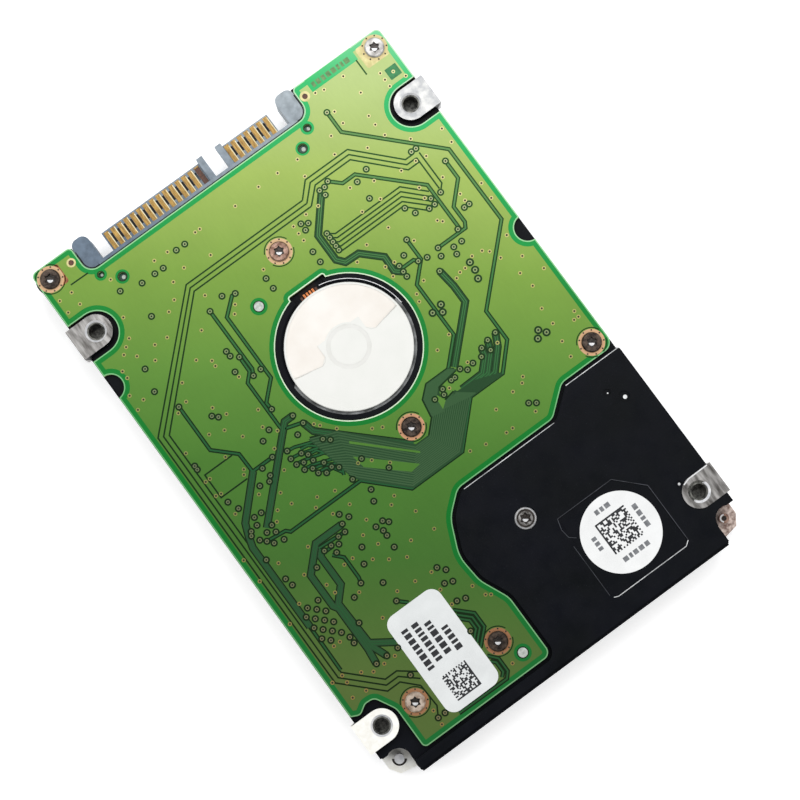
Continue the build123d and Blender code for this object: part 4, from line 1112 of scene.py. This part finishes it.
def board_marks():
    """Square mark and the tinted strip with plain bars at the board's corner."""
    top = BOARD_TOP
    level = top + 2 * LAYER
    filled("corner_mark", [rounded(30.7, 32.8, 41.0, 43.0, 0.1)], top, level, MARK)
    plates("corner_mark_via", [annulus(31.75, 42.0, 0.3, 0.14)], top, level + LAYER, VIA_TAN)
    filled("marking_strip", [rounded(19.4, 28.4, 46.9, 49.2, 0.1)], top, top + 1.5 * LAYER, MASK)
    rng = random.Random(3)
    plates("marking_strip_bars", word_bars(20.0, 47.4, 7.6, 0.9, rng), top, level, STRIP_INK)


def motor_leads():
    """Flat leads that come out of the motor into the notch of the board."""
    y = SPINDLE[1] + 10.15
    z = bottom_of("motor_flex") + 0.1
    bright = [rounded(x, x + 0.34, y, y + 0.9, 0.03) for x in (-1.1, -0.55, 0.0, 0.55)]
    brown = [rounded(x, x + 0.34, y, y + 0.75, 0.03) for x in (-1.7, 1.1)]
    plates("motor_leads", bright, z, z + 0.12, LEAD)
    plates("motor_brown_leads", brown, z, z + 0.12, BROWN_LEAD_AND_SHADE)


def ear_details():
    """Painted shade under the left cover screw's end, and a painted pit with a painted highlight
    in the end of the right one.
    """
    end = top_of("cover_screws")
    plates("ear_shade", crescent(*EARS[0], 1.22, 0.76, 150.0, 170.0),
           EAR_TOP - SUNK, EAR_TOP + LAYER, SOCKET_SHADE)
    plates("screw_pit", [circle(*EARS[1], 0.4, 20)], end - SUNK, end + LAYER, SOCKET_SHADE)
    plates("screw_pit_light", crescent(*EARS[1], 0.7, 0.46, 60.0, 170.0),
           end - SUNK, end + LAYER, PAINTED_GLINT)


def painted_edge_highlights():
    """Painted highlights on the edges of the casting's raised area and of its recess and dimples.
    """
    top = RAISED_FACE
    for name, width, paint, strips in (
            ("step_edges", 0.12, EDGE_HIGHLIGHT,
             (((1.3, -18.4), (18.9, -18.4)), ((23.9, -14.74), (34.2, -14.78)),
              ((10.9, -46.2), (24.1, -46.2)), ((10.2, -45.9), (10.9, -46.2)),
              ((24.1, -46.2), (24.9, -45.6)))),
            ("recess_edges", 0.09, FAINT_EDGE_HIGHLIGHT,
             (((10.35, -30.85), (20.85, -30.85)), ((20.85, -30.85), (24.95, -35.0)),
              ((24.95, -35.0), (24.95, -45.5)), ((10.35, -30.85), (9.85, -32.6)),
              ((9.85, -32.6), (10.05, -34.2)), ((10.05, -34.2), (11.0, -35.0)),
              ((9.85, -35.8), (9.85, -45.3))))):
        ribbons(name, [list(strip) for strip in strips], width, top - SUNK, top + LAYER, paint)
    plates("dimple_glints", [circle(x, y, r, 12) for x, y, r in (
        (30.42, -21.7, 0.34), (28.55, -19.62, 0.12), (29.05, -37.75, 0.22))],
        top - 0.2, top - 0.1, EDGE_HIGHLIGHT)
    ribbons("lug_glint", [[(29.5, -38.3), (30.7, -37.95), (34.3, -37.9)]], 0.2,
            LUG_TOP - SUNK, LUG_TOP + LAYER, PAINTED_GLINT)


def motor_rim():
    """Painted highlight on the edge of the motor's hole, and painted shade along the step of the
    disc's relief.
    """
    x, y = SPINDLE
    face = top_of("motor_base")
    plates("motor_glint", crescent(x, y, 10.92, 10.82, 4.0, 76.0, 40), face - 0.12,
           face - 0.08, PAINTED_GLINT)
    for side, name in ((-1, "relief_step_left"), (1, "relief_step_right")):
        step = [(x + side * 9.9, y + 0.9), (x + side * 5.2, y - 0.1), (x + side * 4.5, y + 0.2),
                (x + side * 3.95, y + 0.9)]
        ribbons(name, [step], 0.12, face - 0.13, face + 0.3 * LAYER, DISC_STEP_SHADE)


def metal_glints():
    """Painted highlights in the driver sockets and on one side of a lug's chamfer, and painted
    shade in the lug holes and round the pivot.
    """
    for name, places, node, depth in (("screw_glints", SCREWS, "pcb_screws", 0.38),
                                      ("pivot_glint", (PIVOT,), "pivot_screw", 0.46)):
        floor = top_of(node) - depth
        plates(name, [circle(x - 0.06, y - 0.08, 0.46, 12, 144.0, 180.0) for x, y in places],
               floor, floor + 0.05, PAINTED_GLINT)
    top = top_of("pivot_screw")
    plates("pivot_shade", [annulus(*PIVOT, 1.42, 1.14, 36)], top, top + LAYER, SOCKET_SHADE)
    plates("lug_highlight_crescent", crescent(LUG_X, LUG_Y[1], 1.84, 1.46, -146.0, 168.0),
           LUG_TOP - SUNK, LUG_TOP + LAYER, PAINTED_GLINT)
    plates("lug_hole_shades", [annulus(side * LUG_X, y, 1.44, 1.2, 36)
                               for side in (-1, 1) for y in LUG_Y],
           LUG_TOP - 0.31, LUG_TOP - 0.29, THREAD_AND_SHADE)


def connector_details():
    """Painted highlights on the contacts' edges, painted shade on the last contact and in the
    slots, and painted shadow lines round the posts and along the board.
    """
    tongue = bottom_of("power_contacts") + 0.12
    top = tongue + 0.08
    places = [POWER_X + PITCH * i for i in range(14)] + [SIGNAL_X + PITCH * i for i in range(7)]
    rng = random.Random(8)
    edges = []
    for x in places:
        end = 48.35 + rng.uniform(0, 0.3)
        edges.append([(x + 0.28, 45.2), (x + 0.43, 45.2), (x + 0.43, end), (x + 0.28, end)])
    # Painted highlights along the contacts' edges.
    plates("contact_highlights", edges, top, top + LAYER, GOLD_HIGHLIGHT)
    last = POWER_X + PITCH * 14
    # Painted shade over the last contact.
    plates("last_contact_shade", [[(last - 0.42, 45.2), (last + 0.42, 45.2),
                                   (last + 0.42, 48.5), (last - 0.42, 48.5)]],
           top, top + LAYER, BROWN_LEAD_AND_SHADE)
    # Painted shade in the slots between the contacts.
    slots = [x + PITCH / 2 for x in places if x not in (places[13], places[-1])]
    plates("slot_shades", [[(x - 0.17, 46.35), (x + 0.17, 46.35), (x + 0.17, 48.05),
                            (x - 0.17, 48.05)] for x in slots],
           tongue - 0.1, tongue + LAYER, BLACK_FOAM_AND_SHADE)
    # Painted shadow lines round the posts and along the board's edge.
    post = top_of("connector_housing") - 0.1
    right = [(16.7, 48.4)] + circle(14.9, 46.35, 1.8, 8, 0.0, -90.0)
    left = [(-26.2, 48.4)] + circle(-24.5, 46.25, 1.7, 8, 180.0, 90.0)
    ribbons("post_shadows", [right, left], 0.16, post - 0.05, post + LAYER, BLACK_FOAM_AND_SHADE)
    gap = 44.46
    ribbons("connector_shadow_line", [[(-24.3, gap), (14.8, gap)]], 0.2, BOARD_BOTTOM,
            top_of("connector_housing") + LAYER, BLACK_FOAM_AND_SHADE)


# ================================================================ labels
def code_cells(x0, y0, size, count, rng, mirror_x=False, mirror_y=False):
    """Cells of a meaningless square pattern with two solid edges."""
    step = size / count
    cells = []
    for column in range(count):
        for row in range(count):
            solid = column == 0 or row == 0
            dashed = (column == count - 1 and row % 2 == 0) or (row == count - 1
                                                               and column % 2 == 0)
            inner = 0 < column < count - 1 and 0 < row < count - 1 and rng.random() < 0.5
            if solid or dashed or inner:
                i = count - 1 - column if mirror_x else column
                j = count - 1 - row if mirror_y else row
                x, y = x0 + i * step, y0 + j * step
                cells.append([(x, y), (x + step, y), (x + step, y + step), (x, y + step)])
    return cells


def word_bars(x, y, length, height, rng, upright=False):
    """Short bars in place of a line of text, along x or down y."""
    bars = []
    done = 0.0
    while done < length - 0.3:
        width = min(rng.uniform(0.45, 0.95), length - done)
        a, b = done, done + width
        if upright:
            bars.append([(x, y - b), (x + height, y - b), (x + height, y - a), (x, y - a)])
        else:
            bars.append([(x + a, y), (x + b, y), (x + b, y + height), (x + a, y + height)])
        done += width + 0.28
    return bars


def board_labels():
    """Printing on the board's label and on the round label: bars and a code, no text."""
    rng = random.Random(21)
    top = top_of("board_label")
    bars = []
    for x, start, end in ((-19.95, -30.6, -38.1), (-18.1, -30.7, -38.1), (-16.3, -31.7, -38.1),
                          (-14.5, -33.8, -38.1)):
        bars += word_bars(x, start, start - end, 1.15, rng, upright=True)
    plates("board_label_bars", bars, top, top + LAYER, INK)
    plates("board_label_code", code_cells(-19.0, -44.5, 4.55, 18, rng, mirror_x=True),
           top, top + LAYER, INK)

    top = top_of("round_label")
    plates("round_label_code", code_cells(14.4, -40.75, 5.6, 20, rng, mirror_y=True),
           top, top + LAYER, INK)
    bars = word_bars(15.6, -34.1, 3.0, 0.8, rng) + word_bars(14.9, -42.6, 5.0, 0.8, rng)
    bars += word_bars(20.9, -36.0, 4.3, 0.8, rng, upright=True)
    bars += word_bars(12.7, -36.5, 2.4, 0.8, rng, upright=True)
    plates("round_label_bars", bars, top, top + LAYER, PALE_INK)


def cover_label_print():
    """Plain printing on the cover's label: panels, bars and a strip code."""
    rng = random.Random(5)
    low = bottom_of("cover_label")
    bars = []
    for row in range(7):
        bars += word_bars(-20.0, 30.0 - 2.6 * row, rng.uniform(12, 18), 1.0, rng)
    for row in range(9):
        bars += word_bars(2.0, 30.0 - 1.9 * row, rng.uniform(10, 17), 0.7, rng)
    x = -20.0
    while x < 18.0:
        width = rng.choice((0.25, 0.25, 0.5, 0.75))
        bars.append([(x, -8.0), (x + width, -8.0), (x + width, -2.5), (x, -2.5)])
        x += width + rng.choice((0.25, 0.5, 0.5))
    for row in range(3):
        bars += word_bars(-20.0, -12.0 - 2.0 * row, rng.uniform(24, 36), 0.8, rng)
    plates("cover_label_bars", bars, low - LAYER / 2, low, INK)


# ================================================================ build
build_stage()
dress_nodes()
board_artwork()
screw_pads()
board_holes()
board_marks()
motor_leads()
ear_details()
painted_edge_highlights()
motor_rim()
metal_glints()
connector_details()
board_labels()
cover_label_print()
